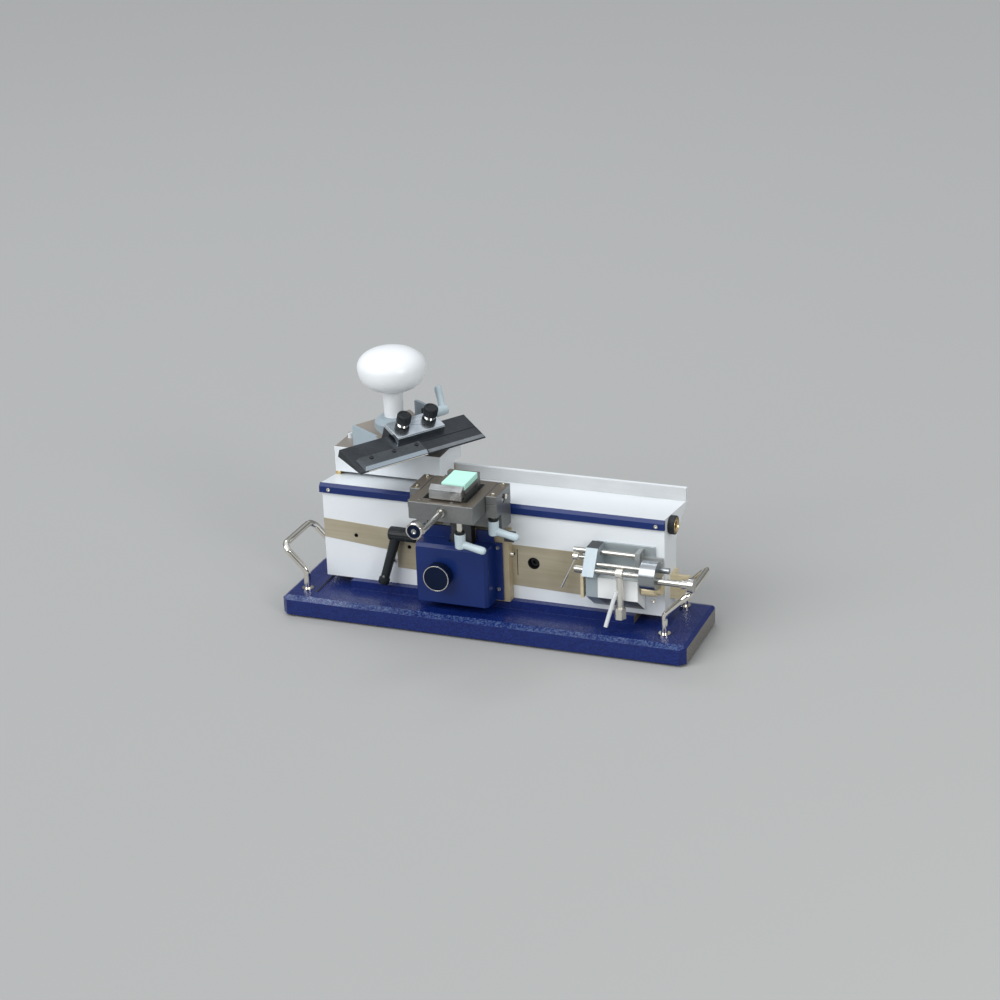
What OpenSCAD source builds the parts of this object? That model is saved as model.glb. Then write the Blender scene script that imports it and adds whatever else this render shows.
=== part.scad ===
// Sledge microtome: a heavy base, a bed with an inclined V way, a hand-pushed knife sledge,
// a specimen head on a rack feed, and an indexing unit at the right end of the bed.
// Every place below is measured from the left front upper edge of the base:
// X to the right along the bed, Y away from the operator, Z up.

/* [Base] */
// Length of the base casting
base_l = 500; // [480:1:560]
// Depth of the base casting
base_w = 129; // [124:1:150]
// Thickness of the base casting
base_t = 21.6; // [16:0.1:30]
// Width of the sloped margin along the upper edge
margin_w = 9; // [4:0.5:14]
// Fall of the sloped margin
margin_fall = 3; // [1:0.5:5]
// Size of the cut corners
corner_cut = 7; // [3:0.5:12]
// Length of the raised pad at each end
end_pad_l = 34; // [32:1:40]
// Depth of the sunk middle panel
panel_d = 2.4; // [1:0.2:4]
// Distance of the plinth's ends from the bed's ends
plinth_in = 35; // [30:1:60]
// Height of the plinth
plinth_h = 8; // [6:0.5:12]
// Diameter of a rubber foot
foot_d = 30; // [20:1:40]
// Height of a rubber foot below the casting
foot_h = 3; // [2:0.5:6]

/* [Handles] */
// Diameter of the carrying tube
tube_d = 8; // [6:0.5:10]
// Place of the left handle's feet from the left end
handle_in_l = 22; // [20:1:26]
// Place of the right handle's feet from the right end
handle_in_r = 33; // [30:1:36]
// Height of the upright part of a handle leg
handle_rise = 24; // [18:1:32]
// Sideways and upward reach of the sloping part of a leg
handle_lean = 29; // [20:1:34]
// Distance between the two legs
handle_span = 80; // [60:1:84]
// Diameter of the foot flange
flange_d = 14; // [12:0.5:18]

/* [Bed] */
// Distance from the base's left end to the bed
bed_in = 34.5; // [30:0.5:38]
// How much shorter the bed is than the base
bed_short = 76; // [60:1:78]
// Distance of the bed's front face behind the base's front edge
bed_y = 60; // [58:0.5:62]
// Height of the bed's upper front edge
bed_top = 127.4; // [126:0.2:129]
// Depth of the bed's lower wall
bed_wall_w = 43; // [40:1:48]
// Depth of the V way from the bed's front to the guide strip
way_w = 85; // [82:0.5:88]
// Fall of the way's floor towards the back, in degrees
way_fall = 6.8; // [5:0.1:8]
// Height of the guide wall above the foot of the way
way_wall_h = 16; // [14:0.5:18]
// Wall thickness of the bed casting
casting_t = 9; // [7:0.5:11]
// Height of the blue cover rail
rail_h = 12; // [9:0.5:14]
// Thickness of the blue cover rail
rail_t = 3.5; // [2.5:0.1:5]

/* [Feed housing] */
// Distance from the base's left end to the housing
housing_x = 169; // [166:0.5:172]
// Width of the housing
housing_w = 88; // [84:0.5:92]
// Height of the housing's lower edge
housing_z = 9; // [8.5:0.5:12]
// Height of the housing
housing_h = 73; // [70:0.5:74]
// Depth of the housing in front of its flange
housing_d = 25; // [24:0.5:28]
// Wall thickness of the housing
housing_t = 3; // [2:0.2:4]
// Diameter of the feed knob
feed_knob_d = 31.5; // [28:0.5:36]
// Length of the feed knob
feed_knob_l = 15; // [12:0.5:18]
// Module of the rack and pinion teeth
tooth_m = 1; // [1:0.25:1.25]
// Teeth of the feed pinion
pinion_teeth = 16; // [14:1:18]
// Upward travel of the specimen feed
feed_up = 20; // [10:1:22]
// Downward travel of the specimen feed
feed_down = 5; // [2:1:6]

/* [Specimen head] */
// Width of the tilting frame
frame_w = 78.5; // [76:0.5:80]
// Depth of the tilting frame
frame_d = 83; // [80:0.5:84]
// Height of the tilting frame
frame_h = 21; // [19:0.5:22]
// Height of the frame's upper face
frame_top = 153.4; // [152:0.2:155]
// Side wall thickness of the frame
frame_wall = 12.5; // [11:0.5:14]
// Width of each bearing block
block_w = 13.3; // [12:0.1:14]
// Depth of each bearing block
block_d = 45; // [40:0.5:46]
// Width of the tissue cassette
cassette_w = 28.5; // [27:0.1:30]
// Length of the tissue cassette
cassette_l = 40; // [38:0.5:42]
// Thickness of the tissue cassette
cassette_h = 7; // [5:0.5:8]
// Diameter of the jaw screw
jaw_screw_d = 7; // [5:0.2:7.4]
// Reach of the jaw screw in front of the frame
jaw_reach = 61; // [50:1:66]
// Diameter of the jaw knob
jaw_knob_d = 19.6; // [17:0.2:22]
// Length of the jaw knob
jaw_knob_l = 12; // [10:0.5:16]

/* [Clamping levers] */
// Diameter of a small lever's hub
hub_d = 12.8; // [11:0.2:14]
// Height of a small lever's hub
hub_h = 18; // [15:0.5:18]
// Reach of a small lever's arm
arm_reach = 26.5; // [22:0.5:28]
// Diameter of a small lever's arm
arm_d = 9.4; // [8:0.2:11]
// Diameter of a clamping stud
stud_d = 6.6; // [5:0.2:7]
// Diameter of the big clamping lever's hub
big_hub_d = 17; // [15:0.2:18]
// Length of the big clamping lever's hub
big_hub_l = 34; // [32:0.5:37]
// Reach of the big clamping lever's arm
big_arm_l = 64; // [58:0.5:65]

/* [Sledge] */
// Length of the sledge
sledge_l = 136.6; // [130:0.2:142]
// Depth of the sledge
sledge_w = 66; // [64:0.5:70]
// Distance of the sledge's front face behind the base's front edge
sledge_y = 100; // [98:0.5:102]
// Height of the sledge's upper face
sledge_top_z = 158; // [157.5:0.1:158.4]
// Gap between the sledge casting and the way
pad_t = 4.2; // [3:0.1:5]
// Travel of the sledge
sledge_travel = 275; // [240:1:280]
// Diameter of the push knob
push_knob_d = 82; // [76:0.2:90]
// Height of the push knob
push_knob_h = 50.5; // [46:0.5:56]
// Diameter of the knob's neck
neck_d = 24.6; // [22:0.2:28]
// Height of the knob's lower edge
push_knob_z = 227.5; // [220:0.5:230]

/* [Knife] */
// Length of the knife
knife_l = 177.5; // [170:0.5:180]
// Width of the knife over its upper face
knife_w = 46.5; // [44:0.5:47]
// Thickness of the knife at its back
knife_t = 10; // [8:0.2:10.5]
// Plan angle between the edge and the bed
knife_turn = 57.5; // [54:0.5:60]
// Tilt of the knife's upper face
knife_lean = 21; // [19:0.5:22]
// Height of the cutting edge
edge_z = 174.5; // [174.2:0.1:175.5]
// Diameter of a knurled clamp knob
knurl_d = 17.2; // [15:0.2:19]
// Height of a knurled clamp knob
knurl_h = 12; // [10:0.5:14]

/* [Index unit] */
// Diameter of the gear drum
drum_d = 33; // [30:0.5:34]
// Length of the gear drum
drum_l = 18.5; // [16:0.5:19]
// Diameter of the drive shaft
drive_d = 7.4; // [6:0.2:8]
// Diameter of the drive shaft's end hub
drive_hub_d = 17; // [14:0.5:18]
// Diameter of the swing arm's rod
arm_rod_d = 6.4; // [5:0.2:7]

/* [Hidden] */
$fn = 48;

// Clearances
run = 0.05;        // running fit, on the radius
air = 0.3;         // curved faces of different bodies
slide_gap = 0.1;   // flat sliding faces
eps = 0.5;         // overshoot of a cut

// Base
panel_margin = 24;
plinth_y = 51.5;
plinth_w = 58;
foot_in = 28;
handle_y = 30;
tube_bend = 11;
bend_swell = 0.05; // extra radius of the tube in its bends

// Bed
bed_x = bed_in;
bed_l = base_l - bed_short;
bed_r = bed_x + bed_l;
plinth_x = bed_x + plinth_in;
plinth_l = bed_l - 2 * plinth_in;
way_y = bed_y + way_w;
way_foot_z = bed_top - way_w * tan(way_fall);
strip_t = 2;
way_back_y = way_y + strip_t + 3.4;
wall_top = way_foot_z + way_wall_h;
band_t = 0.6;
band_face = bed_y - band_t;
band_top_l = 82;
band_top = 75.8;
band_low_l = 58;
band_low = 49.5;
band_foot = 29;
band_foot_r = 22.5;
band_step_x = 128;
rail_y = bed_y - rail_t;
rail_bevel = 4;
rail_over = 2.5;
socket_r = 7.3;
socket_x = housing_x + 131;
socket_z = 55;
tapped_d = 5;
slit_x = housing_x + 111;
slit_w = 0.8;
end_knob_y = bed_y + 20.5;
end_knob_z = bed_top - 13.2;
end_knob_r = 11;
end_pin_r = 3;
lug_l = 23;
lug_t = 4;
lug_z = 22;
lug_h = 30;
lug_y = bed_y + 21;

// Holes in the bed's front face, as [x, z, diameter, depth]
bed_holes = [
  [bed_x + 41.2, 63.8, tapped_d, 8], [housing_x - 25.2, 56.8, tapped_d, 8],
  [socket_x, socket_z, 2 * socket_r, 8.4]
];

// Specimen feed: the pinion's axis runs along Y
pinion_r = tooth_m * pinion_teeth / 2;
pinion_x = housing_x + 30.2;
pinion_z = 46.3;
plate_t = 12;
plate_y = band_face - plate_t;
plate_over = 11;
plate_x = housing_x - plate_over;
plate_w = housing_w + 2 * plate_over + 6;
plate_top = 97;
housing_y = plate_y - housing_t - housing_d;
bush_r = 7;
rack_y = 35;
rack_d = plate_y - rack_y - slide_gap;
rack_pitch_x = pinion_x + pinion_r;
rack_w = 28;
rack_low = 18;
key_w = 12;
rack_key_x = rack_pitch_x + 9;
key_d = 6;
pinion_y = rack_y + 1;
pinion_w = rack_d - 2;
feed_shaft_r = 4;

// Specimen head
frame_x = rack_pitch_x - 24.7;
frame_back = bed_y - 3;
frame_y = frame_back - frame_d;
frame_low = frame_top - frame_h;
trunnion_y = frame_back - block_d / 2;
trunnion_z = frame_top - 9.8;
trunnion_r = 5;
block_y = frame_back - block_d;
side_gap = 0.6;
block_low = frame_low - 5.2;
fork_x = frame_x - side_gap - block_w;
fork_r = frame_x + frame_w + side_gap + block_w;
fork_low = plate_top + feed_down + 3;
fork_y = 27;
fork_back = rail_y - air;
cross_top = frame_low - 6.5;
rail_clear_z = bed_top - rail_bevel + feed_down + 2;
frame_front_wall = 14;
frame_back_wall = 10;
roll_x = frame_x + frame_w / 2 + 1.2;
roll_z = frame_top - 9.2;
roll_r = 6;
cradle_x0 = roll_x - 17;
cradle_x1 = roll_x + 17;
cradle_y0 = frame_y + frame_front_wall + 0.6;
cradle_y1 = frame_back - frame_back_wall - 0.6;
slot_x = roll_x - 7;
slot_w = 14;
leg_y = frame_y + frame_front_wall + 12;
leg_t = 8;
jaw_low = frame_top + 2.4;
seat_low = jaw_low - slide_gap;
tongue_x = roll_x - 7.5;
tongue_size = [9, 13];
tongue_low = frame_low - 12.4;
cassette_top = edge_z - 1.6;
cassette_low = cassette_top - cassette_h;
cassette_x = roll_x - 6.4;
cassette_y = trunnion_y - 42;
seat_x = cassette_x - 11;
seat_w = cassette_w + 12;
seat_lip = 4;
jaw_plate_t = 9;
jaw_top = cassette_top - 2;
jaw_open = 3.5;
jaw_face_y = frame_y - jaw_reach;

// Levers
lock_ring_h = 3.2;
tilt_lock_x = frame_x + frame_w + side_gap + block_w / 2 - 1;
tilt_lock_y = block_y + 8;
roll_lock_x = frame_x + 56;
roll_lock_y = frame_y + 14;
roll_stud_l = 15;
arm_drop = 5.5;
arm_end = 0.985;
arm_ball_d = arm_d + 0.6;
clamp_y = bed_y - 10;
clamp_z = housing_z + housing_h - 5.6;
clamp_turn = 5;
stud_in = 8.4;
clamp_splay = 16;

// Sledge
sledge_x = bed_x;
top_plate_t = 5;
pad_l = 6.5;

// Knife: s runs along the edge, h squarely behind it in plan
knife_x = 119.6;
knife_y = -12;
nose_t = 1.5;
swivel_s = 110;
swivel_h = 91.6;
swivel_x = knife_x + swivel_s * cos(knife_turn) - swivel_h * sin(knife_turn);
swivel_y = knife_y + swivel_s * sin(knife_turn) + swivel_h * cos(knife_turn);
cheek_l_s = 65;
cheek_r_s = 145;
cheek_t = 4;
cheek_back = 115;
cheek_l_top = 185;
cheek_r_top = 202;
cheek_r_back = 99;
shelf_z = 164;
shelf_h = 44;
deck_h = 66;
deck_low = 172;
boss_r = 23.5;
boss_edge = 187;
boss_top = 193;
hinge_h = 57;
hinge_z = 173;
hinge_r = 4;
ear_r = 7;
saddle_gap = 0.4;
saddle_w = 24;
lock_h = 68;
lock_z = 193;
lock_rake = 38;
lock_room_h = 5.6;
lock_room_z = 4.6;
bridge_s0 = 70;
bridge_s1 = 137;
bridge_w0 = 29;
bridge_w1 = 59;
bridge_z = 3;
bridge_t = 5.5;
stud_s = [90.5, 128.8];
stud_w = knife_w + 4.3;
bridge_stud_d = 6;
knurl_z = 10.4;
blade_s0 = 7;
blade_s1 = 95;
blade_w = 22;
blade_clamp_t = 2.6;
blade_t = 0.4;

// Index unit
index_x = bed_r - 85.5;
index_y = 32;
index_end_t = 14;
index_box_l = 62;
index_foot = 35;
index_back_foot = 14;
index_shelf = 60;
index_top = 93.8;
nose_y = 17;
nose_z = 66.2;
index_back = bed_y - 2.6;
drum_x = index_x + index_box_l + 6.5;
drum_y = 30;
drum_z = 71.5;
arm_rod_y = 25.3;
arm_rod_z = 71;
arm_s = index_x + 43;
arm_stud_r = 4;
tie_rod_y = 30.5;
tie_rod_z = 77;
tie_rod_r = 2.5;
top_rod_y = 46;
top_rod_z = 85.5;
top_rod_r = 3.4;
trip_rod_r = 1.8;
drive_y = 25;
drive_z = 67.3;
drive_end = base_l + 3.6;
trip_x = index_x - 19;
trip_z = 77;

// Box of the whole, used to centre the model
x_left = handle_in_l - handle_lean - tube_d / 2 - bend_swell;
x_right = max(base_l - handle_in_r + handle_lean + tube_d / 2 + bend_swell, drive_end);
y_front = jaw_face_y;
y_corner = knife_y + (cheek_r_s + cheek_t) * sin(knife_turn) + cheek_back * cos(knife_turn);
tip_s = cheek_r_s + cheek_t + air + lock_ring_h + hub_h - arm_d / 2 - 1 + arm_end * arm_drop;
tip_h = lock_h + arm_end * arm_reach * sin(lock_rake);
y_tip = knife_y + tip_s * sin(knife_turn) + tip_h * cos(knife_turn) + arm_ball_d / 2;
y_back = max(y_corner, y_tip);
x_mid = (x_left + x_right) / 2;
y_mid = (y_front + y_back) / 2;

// Moves a piece from the base's corner to the model's own origin
module on_bench() translate([-x_mid, -y_mid, base_t + foot_h]) children();

// Extrudes a profile drawn in Y and Z along X
module along_x(x0, x1) translate([x0, 0, 0]) rotate([90, 0, 90]) linear_extrude(x1 - x0) children();

// Extrudes a profile drawn in X and Z along Y
module along_y(y0, y1) translate([0, y1, 0]) rotate([90, 0, 0]) linear_extrude(y1 - y0) children();

// Extrudes a plan along Z
module along_z(z0, z1) translate([0, 0, z0]) linear_extrude(z1 - z0) children();

// Round bar between two heights, and along X or Y
module bar_z(x, y, z0, z1, r) translate([x, y, z0]) cylinder(h = z1 - z0, r = r);
module bar_x(x0, x1, y, z, r) translate([x0, y, z]) rotate([0, 90, 0]) cylinder(h = x1 - x0, r = r);
module bar_y(x, y0, y1, z, r) translate([x, y0, z]) rotate([-90, 0, 0]) cylinder(h = y1 - y0, r = r);

// Block between two corners
module block(a, b) translate(a) cube(b - a);

// Frame of the knife in plan, and on its tilted upper face
module knife_plan() translate([knife_x, knife_y, 0]) rotate([0, 0, knife_turn]) children();
module knife_face() knife_plan() translate([0, 0, edge_z]) rotate([knife_lean, 0, 0]) children();

// Low domed screw head with its hexagon socket, pointing up
module cap_head(d, h) {
  difference() {
    cylinder(h = h, d = d);
    translate([0, 0, h * 0.45]) cylinder(h = h, d = d * 0.5, $fn = 6);
  }
}

// ---- Base ----

module base_plan() {
  polygon([
    [corner_cut, 0], [base_l - corner_cut, 0], [base_l, corner_cut], [base_l, base_w - corner_cut],
    [base_l - corner_cut, base_w], [corner_cut, base_w], [0, base_w - corner_cut], [0, corner_cut]
  ]);
}

module base_side_profile() {
  polygon([
    [0, -base_t], [base_w, -base_t], [base_w, -margin_fall], [base_w - margin_w, 0],
    [margin_w, 0], [0, -margin_fall]
  ]);
}

module base_front_profile() {
  polygon([
    [0, -base_t], [base_l, -base_t], [base_l, -margin_fall], [base_l - margin_w / 2, 0],
    [margin_w / 2, 0], [0, -margin_fall]
  ]);
}

module foot_places() {
  for (x = [foot_in, base_l - foot_in], y = [foot_in, base_w - foot_in])
    translate([x, y, -base_t]) children();
}

module base_plate() {
  on_bench() color("midnightblue") {
    difference() {
      intersection() {
        translate([0, 0, -base_t]) linear_extrude(base_t) base_plan();
        along_x(0, base_l) base_side_profile();
        along_y(0, base_w) base_front_profile();
      }
      block([end_pad_l, panel_margin, -panel_d], [base_l - end_pad_l, base_w + eps, eps]);
      foot_places() translate([0, 0, -eps]) cylinder(h = foot_h + eps, d = foot_d);
    }
    block([plinth_x, plinth_y, -panel_d], [plinth_x + plinth_l, plinth_y + plinth_w, plinth_h]);
  }
}

module rubber_feet() {
  on_bench() color("dimgray")
    foot_places() {
      cylinder(h = foot_h, d = foot_d - 2 * air);
      translate([0, 0, -foot_h]) cylinder(h = foot_h, d1 = foot_d - 6, d2 = foot_d - 2 * air);
    }
}

// ---- Handles ----

// Quarter or part ring of tube, starting on the first axis and turning towards the second
module elbow(r, bend, angle) rotate_extrude(angle = angle) translate([bend, 0]) circle(r = r);

// Bent tube on two flanged feet, leaning outwards along X; the bends are a hair fuller than the tube
module handle() {
  r = tube_d / 2;
  bend = tube_bend;
  reach = bend * tan(22.5);
  slant = handle_lean * sqrt(2) - bend;
  y0 = handle_y;
  y1 = y0 + handle_span;
  lap = 0.4;
  full = r + bend_swell;
  for (y = [y0, y1]) {
    translate([0, y, 0]) cylinder(h = 2.2, d = flange_d);
    bar_z(0, y, 0, handle_rise - reach + lap, r);
    translate([bend, y, handle_rise - reach]) rotate([90, 0, 180]) elbow(full, bend, 45);
  }
  translate([0, 0, handle_rise]) rotate([0, -45, 0]) {
    for (y = [y0, y1])
      bar_x(reach - lap, slant + lap, y, 0, r);
    translate([slant, y0 + bend, 0]) rotate([0, 0, -90]) elbow(full, bend, 90);
    translate([slant, y1 - bend, 0]) elbow(full, bend, 90);
    bar_y(slant + bend, y0 + bend - lap, y1 - bend + lap, 0, r);
  }
}

module handle_left() {
  on_bench() color("silver")
    translate([handle_in_l, 0, 0]) mirror([1, 0, 0]) handle();
}

module handle_right() {
  on_bench() color("silver")
    translate([base_l - handle_in_r, 0, 0]) handle();
}

// ---- Bed ----

module bed_profile() {
  polygon([
    [bed_y, plinth_h], [bed_y + bed_wall_w, plinth_h], [bed_y + bed_wall_w + 2, 86],
    [bed_y + bed_wall_w + 12, 97], [way_back_y, way_foot_z - 1], [way_back_y, wall_top],
    [way_y + strip_t, wall_top], [way_y + strip_t, way_foot_z], [way_y, way_foot_z],
    [bed_y, bed_top]
  ]);
}

// Hollow of the casting, open towards the plinth
module bed_core() {
  polygon([
    [bed_y + casting_t, plinth_h - eps], [bed_y + bed_wall_w - casting_t, plinth_h - eps],
    [bed_y + bed_wall_w - casting_t, 88], [bed_y + bed_wall_w + 14, 102],
    [bed_y + bed_wall_w + 20, 109], [bed_y + casting_t, bed_top - casting_t - 3]
  ]);
}

module bed() {
  on_bench() color("whitesmoke") difference() {
    along_x(bed_x, bed_r) bed_profile();
    along_x(bed_x + casting_t, bed_r - casting_t) bed_core();
    for (h = bed_holes)
      bar_y(h[0], bed_y - eps, bed_y + h[3], h[1], h[2] / 2);
    bar_x(bed_r - casting_t - eps, bed_r + eps, end_knob_y, end_knob_z, end_pin_r + run);
    bar_y(pinion_x, bed_y - eps, bed_y + 1, pinion_z, feed_shaft_r + 2);
  }
}

module way_wall() {
  on_bench() color("gray")
    along_x(bed_x, bed_r)
      polygon([
        [way_y, way_foot_z], [way_y + strip_t, way_foot_z],
        [way_y + strip_t, wall_top - 0.4], [way_y + 0.8, wall_top - 0.4]
      ]);
}

module cover_rail() {
  on_bench() color("navy")
    difference() {
      along_x(bed_x - rail_over, bed_r + 1)
        polygon([
          [bed_y, bed_top - rail_h], [bed_y, bed_top], [rail_y, bed_top - rail_bevel],
          [rail_y, bed_top - rail_h]
        ]);
      translate([bed_x - rail_over, 0, bed_top - rail_h]) rotate([0, -20, 0])
        block([-20, 0, -20], [0, way_y, 0.1]);
    }
}

// Bare machined faces on the bed's front: a narrow inclined one and a tall one behind the carriage
module guide_band() {
  band_r = index_x - 13;
  on_bench() color("tan") difference() {
    along_y(band_face, bed_y)
      polygon([
        [bed_x, band_low_l], [band_step_x, band_low], [band_step_x, band_foot],
        [band_r, band_foot_r], [band_r, band_top], [housing_x - 9, band_top], [bed_x, band_top_l]
      ]);
    for (h = bed_holes)
      bar_y(h[0], band_face - eps, bed_y + eps, h[1], h[2] / 2);
    block([slit_x - slit_w / 2, band_face - eps, socket_z - 17],
          [slit_x + slit_w / 2, bed_y + eps, socket_z + 16]);
    bar_y(pinion_x, band_face - eps, bed_y + eps, pinion_z, feed_shaft_r + 2);
  }
}

module front_screw(x, y, z, d, h) translate([x, y, z]) rotate([90, 0, 0]) cap_head(d, h);

// Screw heads on the cover rail, the bed's front, the housing's flange and the carriage plate
module front_screws() {
  flange_face = plate_y - housing_t;
  on_bench() color("gainsboro") {
    for (x = [bed_x + 10, bed_r - 9])
      front_screw(x, rail_y, bed_top - 7.2, 4.6, 1.4);
    front_screw(band_step_x - 5, bed_y, band_foot + 9, 5, 1.6);
    front_screw(index_x + 72, bed_y, band_foot - 3, 5, 1.6);
    for (z = [housing_z + 15.5, housing_z + housing_h - 5])
      front_screw(housing_x + housing_w + plate_over - 6, flange_face, z, 5, 1.6);
    front_screw(plate_x + 5, flange_face, housing_z + 15.5, 5, 1.6);
    translate([plate_x + plate_w, plate_y + plate_t / 2, 67]) rotate([0, 90, 0]) cap_head(6.5, 4.5);
  }
}

// Flat machined lug screwed to the bed's right end
module end_lug() {
  on_bench() color("palegoldenrod") {
    block([bed_r, lug_y, lug_z], [bed_r + lug_l, lug_y + lug_t, lug_z + lug_h]);
    block([bed_r, lug_y + lug_t, lug_z], [bed_r + lug_t, lug_y + 5 * lug_t, lug_z + lug_h]);
  }
}

module end_knob() {
  on_bench() color("darkgoldenrod") {
    difference() {
      bar_x(bed_r + air, bed_r + 8, end_knob_y, end_knob_z, end_knob_r);
      bar_x(bed_r + 6.6, bed_r + 9, end_knob_y, end_knob_z, end_knob_r - 2.4);
    }
    bar_x(bed_r + 6, bed_r + 8.6, end_knob_y, end_knob_z, 2.6);
    bar_x(bed_r - casting_t + 1, bed_r + 1, end_knob_y, end_knob_z, end_pin_r);
  }
}

// ---- Feed carriage and housing ----

module carriage_plate() {
  on_bench() color("tan") difference() {
    block([plate_x, plate_y, housing_z - 1], [plate_x + plate_w, band_face, plate_top]);
    block([rack_key_x - slide_gap, plate_y - eps, housing_z - 2],
          [rack_key_x + key_w + slide_gap, plate_y + key_d + slide_gap, plate_top + eps]);
    bar_y(pinion_x, plate_y - eps, band_face + eps, pinion_z, feed_shaft_r + run);
    bar_x(plate_x - eps, plate_x + stud_in + 1, clamp_y, clamp_z, stud_d / 2 + run);
  }
}

module feed_housing() {
  flange_y = plate_y - housing_t;
  r = housing_x + housing_w;
  top = housing_z + housing_h;
  bevel = 4;
  on_bench() color("midnightblue") difference() {
    union() {
      intersection() {
        along_x(housing_x, r)
          polygon([
            [housing_y, housing_z], [plate_y, housing_z], [plate_y, top],
            [housing_y + bevel, top], [housing_y, top - bevel]
          ]);
        along_z(housing_z, top)
          polygon([
            [housing_x, plate_y], [housing_x, housing_y + 1], [housing_x + 1, housing_y],
            [r - bevel, housing_y], [r, housing_y + bevel], [r, plate_y]
          ]);
      }
      block([plate_x, flange_y, housing_z + 1], [r + plate_over - 1, plate_y, top]);
      block([housing_x, flange_y, top - 1], [r, plate_y, plate_top - 0.6]);
    }
    block([housing_x + housing_t, housing_y + housing_t, housing_z + housing_t],
          [r - housing_t, plate_y + eps, top - housing_t]);
    block([rack_pitch_x - 2, rack_y - 1, top - housing_t - eps],
          [rack_pitch_x + rack_w, plate_y + eps, plate_top + eps]);
    block([plate_x - eps, flange_y - eps, clamp_z - 11], [plate_x + stud_in + 0.6, plate_y + eps, top + eps]);
    bar_y(pinion_x, housing_y - eps, housing_y + housing_t + eps, pinion_z, bush_r);
  }
}

module slide_stop() {
  x = plate_x + plate_w;
  on_bench() color("dimgray")
    block([x - 2, plate_y - 9, plate_top - 9], [x + 10, plate_y, plate_top + 1.4]);
}

// Flanged bronze bush of the feed shaft, pressed into the housing's front wall
module shaft_bush() {
  on_bench() color("peru") difference() {
    union() {
      bar_y(pinion_x, housing_y, housing_y + housing_t, pinion_z, bush_r);
      bar_y(pinion_x, housing_y + housing_t, housing_y + housing_t + 4, pinion_z, bush_r + 1.5);
    }
    bar_y(pinion_x, housing_y - eps, housing_y + housing_t + 5, pinion_z, feed_shaft_r + run);
  }
}

module feed_knob() {
  y1 = housing_y - air;
  y0 = housing_y - feed_knob_l;
  on_bench() color("midnightblue") difference() {
    union() {
      bar_y(pinion_x, y0, y1 - 2, pinion_z, feed_knob_d / 2);
      bar_y(pinion_x, y1 - 2, y1, pinion_z, feed_knob_d / 2 - 3);
    }
    difference() {
      bar_y(pinion_x, y0 - eps, y0 + 1.6, pinion_z, feed_knob_d / 2 + eps);
      bar_y(pinion_x, y0 - 2 * eps, y0 + 2, pinion_z, feed_knob_d / 2 - 0.9);
    }
    bar_y(pinion_x, y0 + 5, y1 + eps, pinion_z, feed_shaft_r);
  }
}

module knob_ring() {
  y0 = housing_y - feed_knob_l;
  on_bench() color("silver") difference() {
    bar_y(pinion_x, y0, y0 + 1.6, pinion_z, feed_knob_d / 2);
    bar_y(pinion_x, y0 - eps, y0 + 1.6 + eps, pinion_z, feed_knob_d / 2 - 0.9);
  }
}

// Involute flank of a gear: point at a given roll angle on a base circle
function involute(rb, a) = [rb * (cos(a) + a * PI / 180 * sin(a)), rb * (sin(a) - a * PI / 180 * cos(a))];
function roll_at(rb, r) = sqrt(pow(r / rb, 2) - 1) * 180 / PI;
function turned(p, a) = [p[0] * cos(a) - p[1] * sin(a), p[0] * sin(a) + p[1] * cos(a)];
function polar(r, a) = [r * cos(a), r * sin(a)];

pressure = 20;
backlash = 0.18;

// One gear tooth space is centred on the positive first axis, so it takes a rack tooth
module pinion_profile() {
  rp = pinion_r;
  rb = rp * cos(pressure);
  ra = rp + 0.9 * tooth_m;
  rr = rp - 1.2 * tooth_m;
  inv = tan(pressure) * 180 / PI - pressure;
  half = 90 / pinion_teeth - backlash * 90 / (PI * rp) + inv;
  steps = 4;
  flank = [for (i = [0:steps]) involute(rb, roll_at(rb, ra) * i / steps)];
  tooth = concat(
    [polar(rr, -half - 1)], [for (p = flank) turned(p, -half)],
    [for (i = [steps:-1:0]) turned([flank[i][0], -flank[i][1]], half)], [polar(rr, half + 1)]
  );
  polygon([for (t = [0:pinion_teeth - 1], p = tooth) turned(p, (t + 0.5) * 360 / pinion_teeth)]);
}

module feed_pinion() {
  on_bench() color("lightgray") {
    bar_y(pinion_x, housing_y - feed_knob_l + 5, band_face - 1, pinion_z, feed_shaft_r);
    translate([pinion_x, pinion_y + pinion_w, pinion_z]) rotate([90, 0, 0])
      linear_extrude(pinion_w) pinion_profile();
  }
}

module clamp_lever() {
  x1 = plate_x - air;
  x0 = x1 - big_hub_l;
  arm_x = x0 + 9;
  r = 6;
  on_bench() color("black") {
    difference() {
      bar_x(x0, x1, clamp_y, clamp_z, big_hub_d / 2);
      bar_x(x0 + 16, x1 + eps, clamp_y, clamp_z, stud_d / 2);
    }
    translate([arm_x, clamp_y, clamp_z]) rotate([-clamp_turn, clamp_splay, 0]) {
      translate([0, 0, -big_arm_l]) cylinder(h = big_arm_l, r1 = r, r2 = r - 1.2);
      translate([0, 0, -big_arm_l - 2]) cylinder(h = 7, r = r + 0.6);
    }
  }
}

module clamp_stud() {
  on_bench() color("gray")
    bar_x(plate_x - air - big_hub_l + 16, plate_x + stud_in, clamp_y, clamp_z, stud_d / 2);
}

// ---- Specimen head ----

module rack_profile() {
  p = PI * tooth_m;
  low = rack_low;
  top = fork_low;
  first = ceil((low - pinion_z) / p) + 1;
  last = floor((top - 14 - pinion_z) / p);
  tip = rack_pitch_x - 0.9 * tooth_m;
  root = rack_pitch_x + 1.2 * tooth_m;
  half = p / 4 - backlash / 2;
  function edge(x) = half + (x - rack_pitch_x) * tan(pressure);
  polygon(concat(
    [[rack_pitch_x + rack_w - 2, low], [rack_pitch_x + rack_w - 2, top], [root, top]],
    [for (i = [last:-1:first], q = [[root, edge(root)], [tip, edge(tip)], [tip, -edge(tip)], [root, -edge(root)]])
      [q[0], pinion_z + i * p + q[1]]],
    [[root, low]]
  ));
}

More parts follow.
